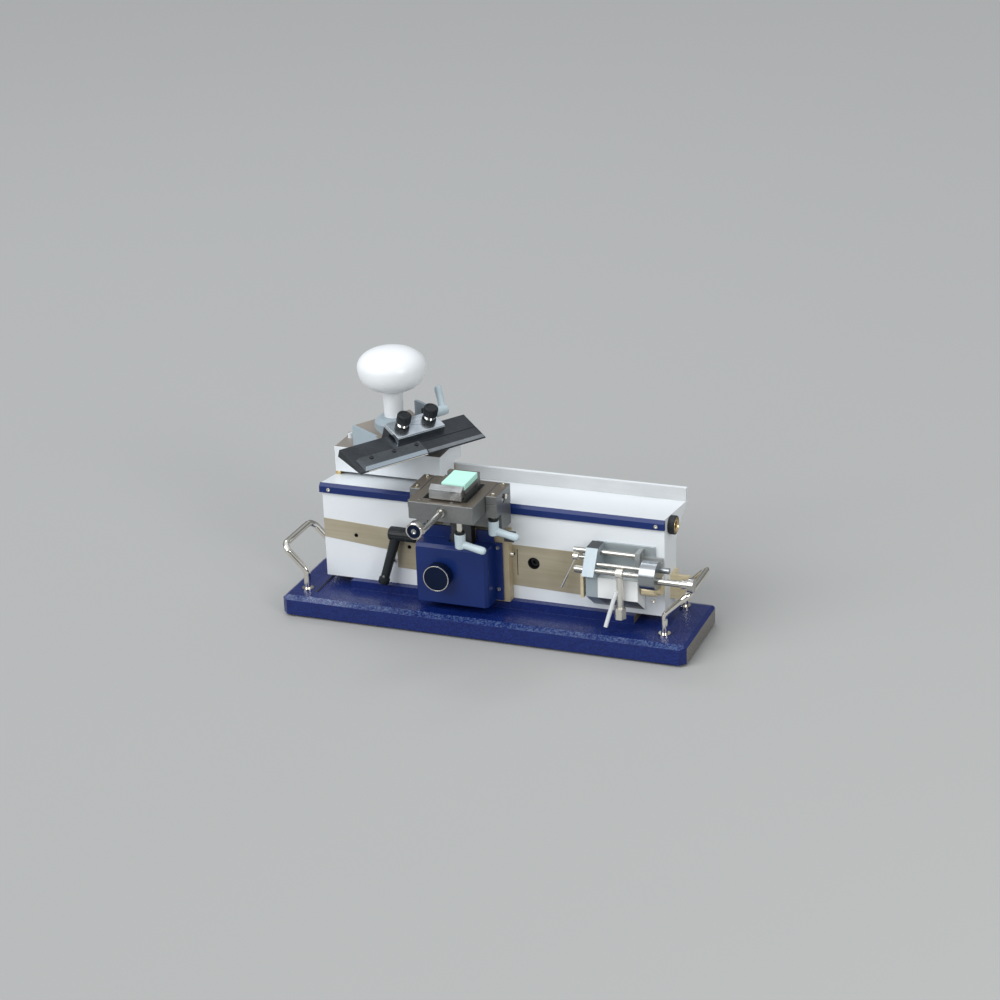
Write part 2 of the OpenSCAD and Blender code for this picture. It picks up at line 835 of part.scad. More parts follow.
module feed_rack() {
  on_bench() color("lightgray") {
    along_y(rack_y, rack_y + rack_d) rack_profile();
    block([rack_key_x, rack_y + rack_d, rack_low], [rack_key_x + key_w, plate_y + key_d, fork_low]);
  }
}

module head_fork() {
  on_bench() color("rosybrown") difference() {
    union() {
      block([fork_x, rack_y, fork_low], [fork_r, fork_back, cross_top]);
      for (x = [fork_x, fork_r - block_w]) {
        block([x, block_y, block_low], [x + block_w, fork_back, trunnion_z - 0.1]);
        block([x, fork_back - 1, rail_clear_z], [x + block_w, frame_back, trunnion_z - 0.1]);
        block([x, fork_y, fork_low], [x + block_w, fork_back, block_low + eps]);
      }
    }
    bar_x(fork_x - eps, fork_r + eps, trunnion_y, trunnion_z, trunnion_r + run);
  }
}

module bearing_caps() {
  on_bench() color("rosybrown") difference() {
    for (x = [fork_x, fork_r - block_w])
      block([x, block_y, trunnion_z + 0.1], [x + block_w, frame_back, frame_top]);
    bar_x(fork_x - eps, fork_r + eps, trunnion_y, trunnion_z, trunnion_r + run);
  }
}

module cap_screws() {
  on_bench() color("gainsboro") {
    for (x = [fork_x, fork_r - block_w], y = [block_y + 7, frame_back - 6])
      translate([x + block_w / 2, y, frame_top]) cap_head(6, 1.5);
    translate([fork_r, block_y + 27, frame_top - 9]) rotate([0, 90, 0]) cap_head(6, 1.6);
  }
}

// Small adjustable lever: hub hanging below its collar, arm to the right and a little down
module small_lever() {
  difference() {
    union() {
      translate([0, 0, -hub_h - lock_ring_h]) cylinder(h = hub_h, d = hub_d);
      translate([0, 0, -lock_ring_h]) cylinder(h = lock_ring_h, d = hub_d - 1.4);
    }
    translate([0, 0, -8]) cylinder(h = 9, d = stud_d);
  }
  translate([0, 0, -lock_ring_h - hub_h + arm_d / 2 + 1]) {
    rotate([0, 90 + atan(arm_drop / arm_reach), 0]) cylinder(h = arm_reach, d = arm_d);
    translate([arm_reach * arm_end, 0, -arm_drop * arm_end]) sphere(d = arm_ball_d);
  }
}

module tilt_lock_lever() {
  on_bench() color("lightsteelblue") {
    translate([tilt_lock_x, tilt_lock_y, block_low - 3]) small_lever();
    bar_z(tilt_lock_x, tilt_lock_y, block_low - 11, block_low - air, stud_d / 2);
  }
}

module roll_lock_lever() {
  top = frame_low - roll_stud_l;
  on_bench() color("lightsteelblue") {
    translate([roll_lock_x, roll_lock_y, top]) small_lever();
    bar_z(roll_lock_x, roll_lock_y, top - 8, frame_low - air, stud_d / 2);
  }
}

module tilt_frame() {
  x1 = frame_x + frame_w;
  on_bench() color("dimgray") difference() {
    union() {
      block([frame_x, frame_y, frame_low], [x1, frame_back, frame_top]);
      block([frame_x - 1.8, frame_y + 3, frame_low + 12], [frame_x + 1, block_y - 3, frame_top]);
    }
    block([frame_x + frame_wall, frame_y + frame_front_wall, frame_low - eps],
          [x1 - frame_wall, frame_back - frame_back_wall, frame_top + eps]);
    bar_x(frame_x - 2, x1 + 2, trunnion_y, trunnion_z, trunnion_r);
    bar_y(roll_x, frame_y - eps, frame_back + eps, roll_z, roll_r + run);
  }
}

module trunnions() {
  x1 = frame_x + frame_w;
  on_bench() color("lightgray") {
    bar_x(fork_x + 1, frame_x + frame_wall - 1, trunnion_y, trunnion_z, trunnion_r);
    bar_x(x1 - frame_wall + 1, fork_r - 1, trunnion_y, trunnion_z, trunnion_r);
  }
}

module roll_cradle() {
  slot_y = leg_y - jaw_open - 1;
  on_bench() color("slategray") difference() {
    union() {
      block([cradle_x0, cradle_y0, frame_low + 2], [cradle_x1, cradle_y1, seat_low]);
      bar_y(roll_x, frame_y, cradle_y0 + 1, roll_z, roll_r);
      bar_y(roll_x, cradle_y1 - 1, frame_back - 1, roll_z, roll_r);
      block([tongue_x, cradle_y0 + 6, tongue_low],
            [tongue_x + tongue_size[0], cradle_y0 + 6 + tongue_size[1], frame_low + 3]);
    }
    block([slot_x, slot_y, frame_low + 6], [slot_x + slot_w, leg_y + leg_t + 1, frame_top + 5]);
    bar_y(roll_x, frame_y - eps, leg_y + leg_t + 7, roll_z, jaw_screw_d / 2 + run);
  }
}

// Bed of the cassette clamp with the fixed jaw at its back
module cassette_seat() {
  y0 = cassette_y + 1;
  y1 = cassette_y + cassette_l;
  on_bench() color("gray") difference() {
    union() {
      block([cradle_x0 + 1, y0, seat_low], [cradle_x1 - 1, y1 + 1, cassette_low - 1]);
      block([seat_x, y0, cassette_low - seat_lip], [seat_x + seat_w, y1 + 0.2, cassette_low]);
      block([seat_x + 2, y1 + 0.2, seat_low], [seat_x + seat_w - 1, y1 + 8, cassette_top - 2.5]);
    }
    block([slot_x, y0 - 1, seat_low - eps], [slot_x + slot_w, leg_y + leg_t + 1, jaw_low + 3.8]);
  }
}

module cassette() {
  x1 = cassette_x + cassette_w;
  on_bench() color("aquamarine") difference() {
    block([cassette_x, cassette_y, cassette_low], [x1, cassette_y + cassette_l, cassette_top]);
    for (x = [cassette_x - eps, x1 - 1.2])
      block([x, cassette_y + 5, cassette_low + 2], [x + 1.2 + eps, cassette_y + cassette_l - 4, cassette_low + 3.2]);
  }
}

module front_jaw() {
  y1 = cassette_y - slide_gap;
  top = jaw_top;
  x0 = slot_x + 1;
  x1 = slot_x + slot_w - 1;
  on_bench() color("silver") difference() {
    union() {
      along_x(seat_x - 1, seat_x + seat_w - 2)
        polygon([
          [y1 - jaw_plate_t, jaw_low], [y1, jaw_low], [y1, top],
          [y1 - 2, top], [y1 - jaw_plate_t, top - 4]
        ]);
      block([x0, y1 - 1, jaw_low], [x1, leg_y + leg_t, jaw_low + 3.4]);
      block([x0, leg_y, roll_z - 5.6], [x1, leg_y + leg_t, jaw_low + 3.4]);
    }
    bar_y(roll_x, leg_y - eps, leg_y + leg_t + eps, roll_z, jaw_screw_d / 2 + run);
  }
}

module jaw_screw() {
  on_bench() color("silver") {
    bar_y(roll_x, jaw_face_y + 4, leg_y + leg_t + 6, roll_z, jaw_screw_d / 2);
    bar_y(roll_x, frame_y - 3.5, frame_y - air, roll_z, jaw_screw_d / 2 + 1.3);
  }
}

module jaw_knob() {
  r = jaw_knob_d / 2;
  on_bench() color("navy") difference() {
    union() {
      bar_y(roll_x, jaw_face_y, jaw_face_y + jaw_knob_l, roll_z, r);
      bar_y(roll_x, jaw_face_y + jaw_knob_l, jaw_face_y + jaw_knob_l + 4, roll_z, r * 0.55);
    }
    bar_y(roll_x, jaw_face_y + 4, jaw_face_y + jaw_knob_l + 5, roll_z, jaw_screw_d / 2);
  }
}

// ---- Sledge ----

function way_z(y) = bed_top - (y - bed_y) * tan(way_fall);

module sledge() {
  inner = way_y - pad_t + 1.6;
  y1 = sledge_y + sledge_w;
  top = sledge_top_z - top_plate_t;
  on_bench() color("whitesmoke")
    along_x(sledge_x, sledge_x + sledge_l)
      polygon([
        [sledge_y, way_z(sledge_y) + pad_t], [inner, way_z(inner) + pad_t],
        [inner, wall_top + 3], [y1, wall_top + 3], [y1, top], [sledge_y, top]
      ]);
}

module sledge_top() {
  on_bench() color("gray") {
    block([sledge_x, sledge_y, sledge_top_z - top_plate_t],
          [sledge_x + sledge_l, sledge_y + sledge_w, sledge_top_z]);
    translate([sledge_x + 7, sledge_y + 34, sledge_top_z]) cap_head(7, 6);
  }
}

// Two bronze pads on the floor of the way and two against its wall
module way_pads() {
  inner = way_y - pad_t + 1.6;
  on_bench() color("darkgoldenrod")
    for (x = [sledge_x, sledge_x + sledge_l - pad_l])
      along_x(x, x + pad_l) {
        polygon([
          [sledge_y, way_z(sledge_y) + slide_gap], [inner, way_z(inner) + slide_gap],
          [inner, way_z(inner) + pad_t], [sledge_y, way_z(sledge_y) + pad_t]
        ]);
        polygon([
          [inner, way_z(inner) + pad_t], [way_y - slide_gap, way_z(inner) + pad_t],
          [way_y + 0.6 - slide_gap, wall_top - 1], [inner, wall_top - 1]
        ]);
      }
}

module knob_neck() {
  on_bench() color("white") {
    bar_z(swivel_x, swivel_y, sledge_top_z, push_knob_z, 10);
    translate([swivel_x, swivel_y, boss_top + air])
      cylinder(h = push_knob_z - boss_top - air, r1 = neck_d / 2 - 1, r2 = neck_d / 2);
    bar_z(swivel_x, swivel_y, push_knob_z - 2.6, push_knob_z, neck_d / 2 + 0.8);
  }
}

// Mushroom shape: a flat dome over a fuller belly, turned about its axis
module push_knob() {
  r = push_knob_d / 2;
  h = push_knob_h;
  belly = 0.56;
  low_r = neck_d / 2 - 2;
  on_bench() color("white") translate([swivel_x, swivel_y, push_knob_z])
    rotate_extrude($fn = 72)
      polygon(concat(
        [[0, 0], [low_r, 0]],
        [for (a = [-80:10:0]) [low_r + (r - low_r) * pow(cos(a), 0.7), h * belly * (1 + sin(a))]],
        [for (a = [10:10:80]) [r * pow(cos(a), 0.8), h * (belly + (1 - belly) * sin(a))]],
        [[0, h]]
      ));
}

// ---- Knife ----

module swivel_base() {
  low = sledge_top_z + slide_gap;
  on_bench() color("lightsteelblue") knife_plan() difference() {
    union() {
      along_x(cheek_l_s, cheek_r_s + cheek_t)
        polygon([
          [shelf_h, low], [cheek_back, low], [cheek_back, cheek_l_top],
          [deck_h, deck_low], [deck_h - 2, shelf_z], [shelf_h, shelf_z]
        ]);
      along_x(cheek_l_s, cheek_l_s + cheek_t)
        polygon([
          [hinge_h - ear_r, low], [cheek_back, low], [cheek_back, cheek_l_top],
          [deck_h, cheek_l_top], [hinge_h - ear_r, hinge_z + ear_r]
        ]);
      along_x(cheek_r_s, cheek_r_s + cheek_t)
        polygon([
          [hinge_h - ear_r, low], [cheek_r_back, low], [cheek_r_back, cheek_r_top],
          [lock_h - 6, cheek_r_top], [lock_h - 6, lock_z - 4], [hinge_h - ear_r, hinge_z + ear_r]
        ]);
      bar_z(swivel_s, swivel_h, low, boss_edge, boss_r);
      translate([swivel_s, swivel_h, boss_edge])
        cylinder(h = boss_top - boss_edge, r1 = boss_r, r2 = boss_r - 7);
    }
    bar_z(swivel_s, swivel_h, sledge_top_z - 1, boss_top + 1, 10 + run);
    bar_x(cheek_l_s - 1, cheek_r_s + cheek_t + 1, hinge_h, hinge_z, hinge_r + run);
    bar_x(cheek_r_s - 1, cheek_r_s + cheek_t + 1, lock_h, lock_z, stud_d / 2 + run);
  }
}

// Thickness of the knife below its upper face, at a distance behind the edge
function knife_depth(w) = nose_t + (knife_t - nose_t) * w / knife_w;

// Saddle under the knife, hinged between the cheeks of the swivel base
module knife_saddle() {
  s0 = cheek_l_s + cheek_t + saddle_gap;
  s1 = cheek_r_s - saddle_gap;
  on_bench() color("slategray") {
    difference() {
      union() {
        knife_face() {
          along_x(s0, s1)
            polygon([
              [saddle_w, -knife_depth(saddle_w)], [knife_w, -knife_depth(knife_w)],
              [knife_w + 0.2, -knife_depth(knife_w)], [knife_w + 0.2, -knife_depth(knife_w) - 6],
              [saddle_w, -knife_depth(saddle_w) - 5]
            ]);
          along_x(bridge_s0, bridge_s1)
            polygon([
              [knife_w + 0.2, -knife_t - 14], [bridge_w1, -knife_t - 14], [bridge_w1, bridge_z],
              [knife_w + 0.2, bridge_z]
            ]);
        }
        knife_plan() {
          bar_x(s0, s1, hinge_h, hinge_z, ear_r - 1);
          along_x(s1 - 5, s1)
            polygon([
              [hinge_h - 5, hinge_z - 2], [hinge_h + 5, hinge_z - 2], [hinge_h + 5, lock_z - 8],
              [lock_h + 9, lock_z - 8], [lock_h + 9, lock_z + 6], [lock_h - 7, lock_z + 6],
              [lock_h - 7, lock_z - 3], [hinge_h - 5, hinge_z + 7]
            ]);
        }
      }
      knife_plan() block([s1 - 6, lock_h - lock_room_h, lock_z - lock_room_z],
                         [s1 + 1, lock_h + lock_room_h, lock_z + lock_room_z]);
    }
    knife_plan() bar_x(cheek_l_s + 0.2, cheek_r_s + cheek_t - 0.2, hinge_h, hinge_z, hinge_r);
  }
}

// Knife blank: a wedge in section, with a shallow groove along its upper face
module knife() {
  on_bench() color("darkslategray") knife_face() difference() {
    along_x(0, knife_l)
      polygon([
        [1.2, 0], [knife_w, 0], [knife_w, -knife_t], [4, -knife_depth(4)], [0, -nose_t + 0.2], [0, -0.9]
      ]);
    block([blade_s1 + 5, blade_w - 1, -0.6], [knife_l + 1, blade_w, 1]);
    block([blade_s0 + 3, -1, -blade_t], [blade_s1, blade_w - 4, 1]);
  }
}

module blade() {
  on_bench() color("silver") knife_face()
    block([blade_s0 + 4, -0.6, -blade_t], [blade_s1 - 1, blade_w - 5, 0]);
}

module blade_clamp() {
  end_bevel = 4;
  on_bench() color("dimgray") knife_face() difference() {
    along_x(blade_s0, blade_s1)
      polygon([[0.8, 0], [blade_w, 0], [blade_w, blade_clamp_t], [6, blade_clamp_t], [0.8, 0.5]]);
    translate([blade_s0, 0, 0.4]) rotate([0, -atan(blade_clamp_t / end_bevel), 0])
      block([-end_bevel, -1, 0], [3 * end_bevel, blade_w + 1, 2 * blade_clamp_t]);
  }
}

module blade_screws() {
  on_bench() color("silver") knife_face()
    for (s = [blade_s0 + 19, (blade_s0 + blade_s1) / 2 + 6.5, blade_s1 - 6])
      translate([s, blade_w - 4, blade_clamp_t]) cap_head(5, 1.2);
}

// Polished plate over the knife's back, with a pressing lip at its front edge
module clamp_bridge() {
  on_bench() color("silver") knife_face() difference() {
    along_x(bridge_s0, bridge_s1)
      polygon([
        [bridge_w0, 0], [bridge_w0 + 4, 0], [bridge_w0 + 7, bridge_z], [bridge_w1, bridge_z],
        [bridge_w1, bridge_z + bridge_t], [bridge_w0 + 1, bridge_z + bridge_t],
        [bridge_w0, bridge_z + bridge_t - 1.5]
      ]);
    for (s = stud_s)
      bar_z(s, stud_w, -1, bridge_z + bridge_t + 1, bridge_stud_d / 2 + run);
  }
}

module bridge_studs() {
  on_bench() color("silver") knife_face()
    for (s = stud_s) {
      bar_z(s, stud_w, bridge_z, knurl_z + 8, bridge_stud_d / 2);
      bar_z(s, stud_w, bridge_z + bridge_t, bridge_z + bridge_t + 1.6, 7);
    }
}

module knurled_knob(s) {
  knife_face() difference() {
    union() {
      bar_z(s, stud_w, knurl_z, knurl_z + knurl_h, knurl_d / 2);
      bar_z(s, stud_w, bridge_z + bridge_t + 1.8, knurl_z, bridge_stud_d / 2 + 2);
    }
    bar_z(s, stud_w, bridge_z, knurl_z + 8.4, bridge_stud_d / 2 + run);
  }
}

module bridge_knob_left() on_bench() color("black") knurled_knob(stud_s[0]);

module bridge_knob_right() on_bench() color("black") knurled_knob(stud_s[1]);

module knife_tilt_lever() {
  on_bench() color("lightsteelblue") knife_plan() {
    translate([cheek_r_s + cheek_t + air, lock_h, lock_z]) rotate([-lock_rake, 0, 0])
      rotate([0, -90, 0]) small_lever();
    bar_x(cheek_r_s - 5, cheek_r_s + cheek_t + 7, lock_h, lock_z, stud_d / 2);
  }
}

// ---- Index unit ----

module index_plate() {
  on_bench() color("darkgray")
    block([index_x + 5.5, index_back, index_shelf + 0.6], [index_x + 75, bed_y, index_top - 0.2]);
}

module index_bracket() {
  x0 = index_x + index_end_t;
  x1 = index_x + index_box_l;
  on_bench() color("white") difference() {
    union() {
      along_x(x0, x1)
        polygon([
          [band_face, index_back_foot], [index_y, index_foot], [index_y, index_shelf],
          [band_face, index_shelf]
        ]);
      block([x1 - 6, top_rod_y - 5, index_shelf], [x1, index_back, top_rod_z + 5.5]);
      block([x1, index_back - 4, 50], [drum_x + drum_l - 2, index_back, 82]);
      block([drum_x + 2, drum_y + 8, drum_z - 10], [drum_x + drum_l - 2, index_back - 2, drum_z + 6]);
    }
    bar_x(drum_x - 1, drum_x + drum_l + 1, drum_y, drum_z, drum_d / 2);
    bar_x(x1 - 7, x1 + 1, top_rod_y, top_rod_z, top_rod_r);
  }
}

// Round support under the drum and a narrow side bar, both screwed to the bed
module index_supports() {
  tube_y = 45;
  tube_z = 45.5;
  tube_r = 6.5;
  x0 = drum_x - 5;
  bar_x0 = index_x - 9;
  on_bench() color("palegoldenrod") {
    bar_x(x0, x0 + 18, tube_y, tube_z, tube_r);
    bar_x(x0 + 16, x0 + 24, tube_y, tube_z + 4, tube_r + 1.3);
    block([x0 + 2, tube_y, tube_z - 4.5], [x0 + 16, band_face, tube_z + 4.5]);
    block([bar_x0, index_y + 7, index_foot - 6], [bar_x0 + 3.6, band_face, index_shelf - 2]);
  }
}

module index_end_plate() {
  on_bench() color("lightsteelblue") difference() {
    along_x(index_x, index_x + index_end_t)
      polygon([
        [band_face, index_back_foot], [index_y, index_foot], [index_y, index_shelf - 2],
        [nose_y, nose_z], [nose_y + 19, index_top], [band_face, index_top]
      ]);
    bar_x(index_x - 1, index_x + index_end_t + 1, arm_rod_y, arm_rod_z, arm_rod_d / 2);
    bar_x(index_x - 1, index_x + index_end_t + 1, tie_rod_y, tie_rod_z, tie_rod_r);
    bar_x(index_x - 1, index_x + index_end_t + 1, top_rod_y, top_rod_z, top_rod_r);
    bar_x(index_x - 1, index_x + 6, top_rod_y, trip_z, trip_rod_r);
    block([index_x - 1, index_back, index_shelf + 0.6],
          [index_x + index_end_t + 1, bed_y + 1, index_top + 1]);
  }
}

module index_rods() {
  x0 = index_x;
  x1 = drum_x;
  on_bench() color("silver") {
    bar_x(x0, x1, tie_rod_y, tie_rod_z, tie_rod_r);
    bar_x(x0 - 11, x1, arm_rod_y, arm_rod_z, arm_rod_d / 2);
    bar_x(x0 - 10, x0, arm_rod_y, arm_rod_z, arm_rod_d / 2 + 1.2);
    bar_x(x0 - 18, index_x + index_box_l, top_rod_y, top_rod_z, top_rod_r);
    bar_x(x0 - 16, x0 + 6, top_rod_y, trip_z, trip_rod_r);
  }
}

module index_drum() {
  x1 = drum_x + drum_l;
  on_bench() color("lightgray") difference() {
    union() {
      bar_x(drum_x, x1, drum_y, drum_z, drum_d / 2);
      bar_x(x1, x1 + 11, drum_y + 8, drum_z + 4, 3.4);
    }
    bar_x(x1 - 9, x1 + 1, drive_y, drive_z, drive_d / 2 + run);
  }
}

// Eye swinging on its rod, with the hanging stud and nut
module index_arm() {
  eye = 8;
  on_bench() color("silver") difference() {
    union() {
      bar_x(arm_s - eye / 2, arm_s + eye / 2, arm_rod_y, arm_rod_z, arm_rod_d / 2 + 2.2);
      bar_z(arm_s, arm_rod_y, 27, arm_rod_z - 4.4, arm_stud_r);
      translate([arm_s, arm_rod_y, 16]) cylinder(h = 13, r = 7, $fn = 6);
    }
    bar_x(arm_s - eye, arm_s + eye, arm_rod_y, arm_rod_z, arm_rod_d / 2 + run);
  }
}

module index_lever() {
  on_bench() color("gainsboro")
    translate([arm_s - 3.6, arm_rod_y - 2.6, 50]) rotate([-16, 13, 0])
      translate([0, 0, -43]) cylinder(h = 43, r = 2.5);
}

module drive_shaft() {
  x0 = drum_x + drum_l - 8.5;
  on_bench() color("silver") {
    bar_x(x0, drive_end - 6, drive_y, drive_z, drive_d / 2);
    bar_x(drive_end - 14, drive_end - 6, drive_y, drive_z, drive_d / 2 + 1.6);
    bar_x(drive_end - 6.5, drive_end, drive_y, drive_z, drive_hub_d / 2);
  }
}

module trip_lever() {
  on_bench() color("gainsboro") {
    difference() {
      bar_x(trip_x, trip_x + 6, top_rod_y, trip_z, 4);
      bar_x(trip_x + 1.8, trip_x + 7, top_rod_y, trip_z, trip_rod_r + run);
    }
    translate([trip_x + 2, top_rod_y, trip_z - 3]) rotate([0, 25, 0])
      translate([0, 0, -42]) cylinder(h = 42, r = 1.5);
  }
}

base_plate();
rubber_feet();
handle_left();
handle_right();
bed();
way_wall();
cover_rail();
guide_band();
front_screws();
end_lug();
end_knob();
carriage_plate();
feed_housing();
slide_stop();
shaft_bush();
feed_knob();
knob_ring();
feed_pinion();
clamp_lever();
clamp_stud();
feed_rack();
head_fork();
bearing_caps();
cap_screws();
tilt_lock_lever();
tilt_frame();
trunnions();
roll_lock_lever();
roll_cradle();
cassette_seat();
cassette();
front_jaw();
jaw_screw();
jaw_knob();
sledge();
sledge_top();
way_pads();
knob_neck();
push_knob();
swivel_base();
knife_saddle();
knife();
blade_clamp();
blade();
blade_screws();
clamp_bridge();
bridge_studs();
bridge_knob_left();
bridge_knob_right();
knife_tilt_lever();
index_plate();
index_bracket();
index_supports();
index_end_plate();
index_rods();
index_drum();
index_arm();
index_lever();
drive_shaft();
trip_lever();
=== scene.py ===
import bpy
import bmesh
import math
from mathutils import Matrix, Vector


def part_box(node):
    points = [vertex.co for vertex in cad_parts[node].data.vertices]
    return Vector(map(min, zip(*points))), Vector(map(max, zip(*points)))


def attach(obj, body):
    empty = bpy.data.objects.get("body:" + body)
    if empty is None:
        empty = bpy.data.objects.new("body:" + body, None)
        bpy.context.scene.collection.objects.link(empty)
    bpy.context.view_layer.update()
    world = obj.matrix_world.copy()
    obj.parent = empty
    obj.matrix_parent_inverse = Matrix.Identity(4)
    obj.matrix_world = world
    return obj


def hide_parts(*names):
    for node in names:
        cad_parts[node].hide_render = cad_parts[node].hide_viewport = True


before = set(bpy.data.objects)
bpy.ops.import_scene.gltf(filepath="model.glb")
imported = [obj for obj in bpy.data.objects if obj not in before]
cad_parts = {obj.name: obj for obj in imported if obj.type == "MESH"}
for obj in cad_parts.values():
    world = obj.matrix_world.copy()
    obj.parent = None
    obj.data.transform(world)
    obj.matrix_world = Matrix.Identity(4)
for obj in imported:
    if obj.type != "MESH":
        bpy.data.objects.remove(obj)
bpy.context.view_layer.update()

# ---- Viewpoint and studio ----
# The machine stands on a plain pale table under one large diffused lamp, high on the left, with weak
# soft boxes that only draw highlights. The camera looks down a little from the right.
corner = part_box("base_plate")[0]
casting_depth = 21.6


def at(x, y, z):
    """Place in the scene of millimetres from the base's left front upper corner."""
    return corner + Vector((x, y, z + casting_depth)) / 1000


camera_turn, camera_drop, camera_roll = (math.radians(a) for a in (21.4643, 22.0901, -2.03196))
backward = Vector((math.sin(camera_turn) * math.cos(camera_drop),
                   -math.cos(camera_turn) * math.cos(camera_drop), math.sin(camera_drop)))
level = Vector((0, 0, 1)).cross(backward).normalized()
upright = backward.cross(level)
right = math.cos(camera_roll) * level + math.sin(camera_roll) * upright
up = math.cos(camera_roll) * upright - math.sin(camera_roll) * level
camera = bpy.data.objects.new("camera", bpy.data.cameras.new("camera"))
camera.matrix_world = Matrix((right, up, backward)).transposed().to_4x4()
camera_place = (1218.527, -2376.349, 1192.323)
camera.location = at(*camera_place)
camera.data.sensor_width = 36
camera.data.lens = 88.184
camera.data.clip_end = 60
bpy.context.scene.collection.objects.link(camera)
bpy.context.scene.camera = camera


def soft_box(name, place, aim, width, height, watts, tone=(1, 1, 1)):
    """A lamp behind a wide diffuser, turned towards a point of the machine."""
    lamp = bpy.data.lights.new(name, "AREA")
    lamp.shape = "RECTANGLE"
    lamp.size, lamp.size_y, lamp.energy, lamp.color = width, height, watts, tone
    box = bpy.data.objects.new(name, lamp)
    box.location = place
    box.rotation_euler = (Vector(place) - Vector(aim)).to_track_quat("Z", "Y").to_euler()
    bpy.context.scene.collection.objects.link(box)


main_lamp = bpy.data.lights.new("diffused_lamp", "SUN")
main_lamp.energy, main_lamp.angle, main_lamp.color = 1.8, math.radians(50), (0.985, 0.995, 1)
main_box = bpy.data.objects.new("diffused_lamp", main_lamp)
towards_main_lamp = Vector((-0.38, -0.68, 0.63))
main_box.rotation_euler = towards_main_lamp.to_track_quat("Z", "Y").to_euler()
bpy.context.scene.collection.objects.link(main_box)
middle_of_machine = (0, 0, 0.1)
soft_box("soft_box_back", (-1.3, 1.7, 3.0), middle_of_machine, 1.1, 0.5, 13, (0.93, 0.97, 1))
soft_box("soft_box_left", (-2.4, -1.9, 1.7), middle_of_machine, 0.5, 1.5, 11, (0.97, 0.985, 1))
soft_box("soft_box_right", (2.5, -1.7, 1.5), middle_of_machine, 0.9, 1.2, 30, (0.99, 0.985, 0.96))

# The room is dim along the walls and bright overhead.
studio = bpy.data.worlds.new("studio")
studio.use_nodes = True
bpy.context.scene.world = studio
room = studio.node_tree
room_place = room.nodes.new("ShaderNodeTexCoord")
room_parts = room.nodes.new("ShaderNodeSeparateXYZ")
room_shade = room.nodes.new("ShaderNodeValToRGB")
dim_wall = (0.20, 0.205, 0.215, 1)
room_shade.color_ramp.elements[0].color = dim_wall
room_shade.color_ramp.elements[1].color = (1.0, 1.03, 1.06, 1)
for stop, shade in ((0.40, dim_wall), (0.62, (0.52, 0.54, 0.57, 1))):
    room_shade.color_ramp.elements.new(stop).color = shade
room.links.new(room_place.outputs["Generated"], room_parts.inputs["Vector"])
room.links.new(room_parts.outputs["Z"], room_shade.inputs["Fac"])
room.links.new(room_shade.outputs["Color"], room.nodes["Background"].inputs["Color"])

bpy.context.scene.view_settings.view_transform = "Standard"


# The table is one wide pale sheet with a faint cloudiness, so the machine's shadow shows on it.
def new_finish(name, rough, metal=0.0, coat=0.0, coat_rough=0.03, gloss=0.5):
    """A material of the given name with its plain gloss numbers set on the shader."""
    finish = bpy.data.materials.new(name)
    finish.use_nodes = True
    shader = finish.node_tree.nodes["Principled BSDF"]
    shader.inputs["Roughness"].default_value = rough
    shader.inputs["Metallic"].default_value = metal
    shader.inputs["Coat Weight"].default_value = coat
    shader.inputs["Coat Roughness"].default_value = coat_rough
    shader.inputs["Specular IOR Level"].default_value = gloss
    return finish, finish.node_tree, shader


def between(tree, mask, dark, light, target):
    """Blends two colours by a mask into a socket; a colour may be another blend's output."""
    mix = tree.nodes.new("ShaderNodeMix")
    mix.data_type = "RGBA"
    for side, colour in (("A", dark), ("B", light)):
        if isinstance(colour, tuple):
            mix.inputs[side].default_value = (*colour, 1)
        else:
            tree.links.new(colour, mix.inputs[side])
    tree.links.new(mask, mix.inputs["Factor"])
    if target:
        tree.links.new(mix.outputs["Result"], target)
    return mix.outputs["Result"]


def spread(tree, mask, low, high, target):
    """Sends a mask, stretched between two numbers, to the shader's socket."""
    level_node = tree.nodes.new("ShaderNodeMapRange")
    level_node.inputs["To Min"].default_value = low
    level_node.inputs["To Max"].default_value = high
    tree.links.new(mask, level_node.inputs["Value"])
    tree.links.new(level_node.outputs["Result"], target)


def relief(tree, height, depth, shader):
    """Raises the surface by a height mask; depth is in millimetres."""
    bump = tree.nodes.new("ShaderNodeBump")
    bump.inputs["Distance"].default_value = depth / 1000
    bump.inputs["Strength"].default_value = 1.0
    tree.links.new(height, bump.inputs["Height"])
    tree.links.new(bump.outputs["Normal"], shader.inputs["Normal"])


def effect(tree, group, **values):
    """Places a shader node group in a material with its own values."""
    node = tree.nodes.new("ShaderNodeGroup")
    node.node_tree = group
    for label, value in values.items():
        node.inputs[label.replace("_", " ")].default_value = value
    return node


def new_effect(name, numbers, vectors, outputs):
    """An empty shader node group with named inputs and mask outputs."""
    group = bpy.data.node_groups.new(name, "ShaderNodeTree")
    for label, value in numbers.items():
        group.interface.new_socket(label, in_out="INPUT", socket_type="NodeSocketFloat").default_value = value
    for label, value in vectors.items():
        group.interface.new_socket(label, in_out="INPUT", socket_type="NodeSocketVector").default_value = value
    for label in outputs:
        group.interface.new_socket(label, in_out="OUTPUT", socket_type="NodeSocketFloat")
    return group, group.nodes.new("NodeGroupInput"), group.nodes.new("NodeGroupOutput")


cloudiness, cloud_in, cloud_out = new_effect("cloudiness", {"Size": 20.0, "Fineness": 2.0}, {}, ["Mask"])
cloud_place = cloudiness.nodes.new("ShaderNodeTexCoord")
cloud_noise = cloudiness.nodes.new("ShaderNodeTexNoise")
cloudiness.links.new(cloud_place.outputs["Object"], cloud_noise.inputs["Vector"])
cloudiness.links.new(cloud_in.outputs["Size"], cloud_noise.inputs["Scale"])
cloudiness.links.new(cloud_in.outputs["Fineness"], cloud_noise.inputs["Detail"])
cloudiness.links.new(cloud_noise.outputs["Fac"], cloud_out.inputs["Mask"])

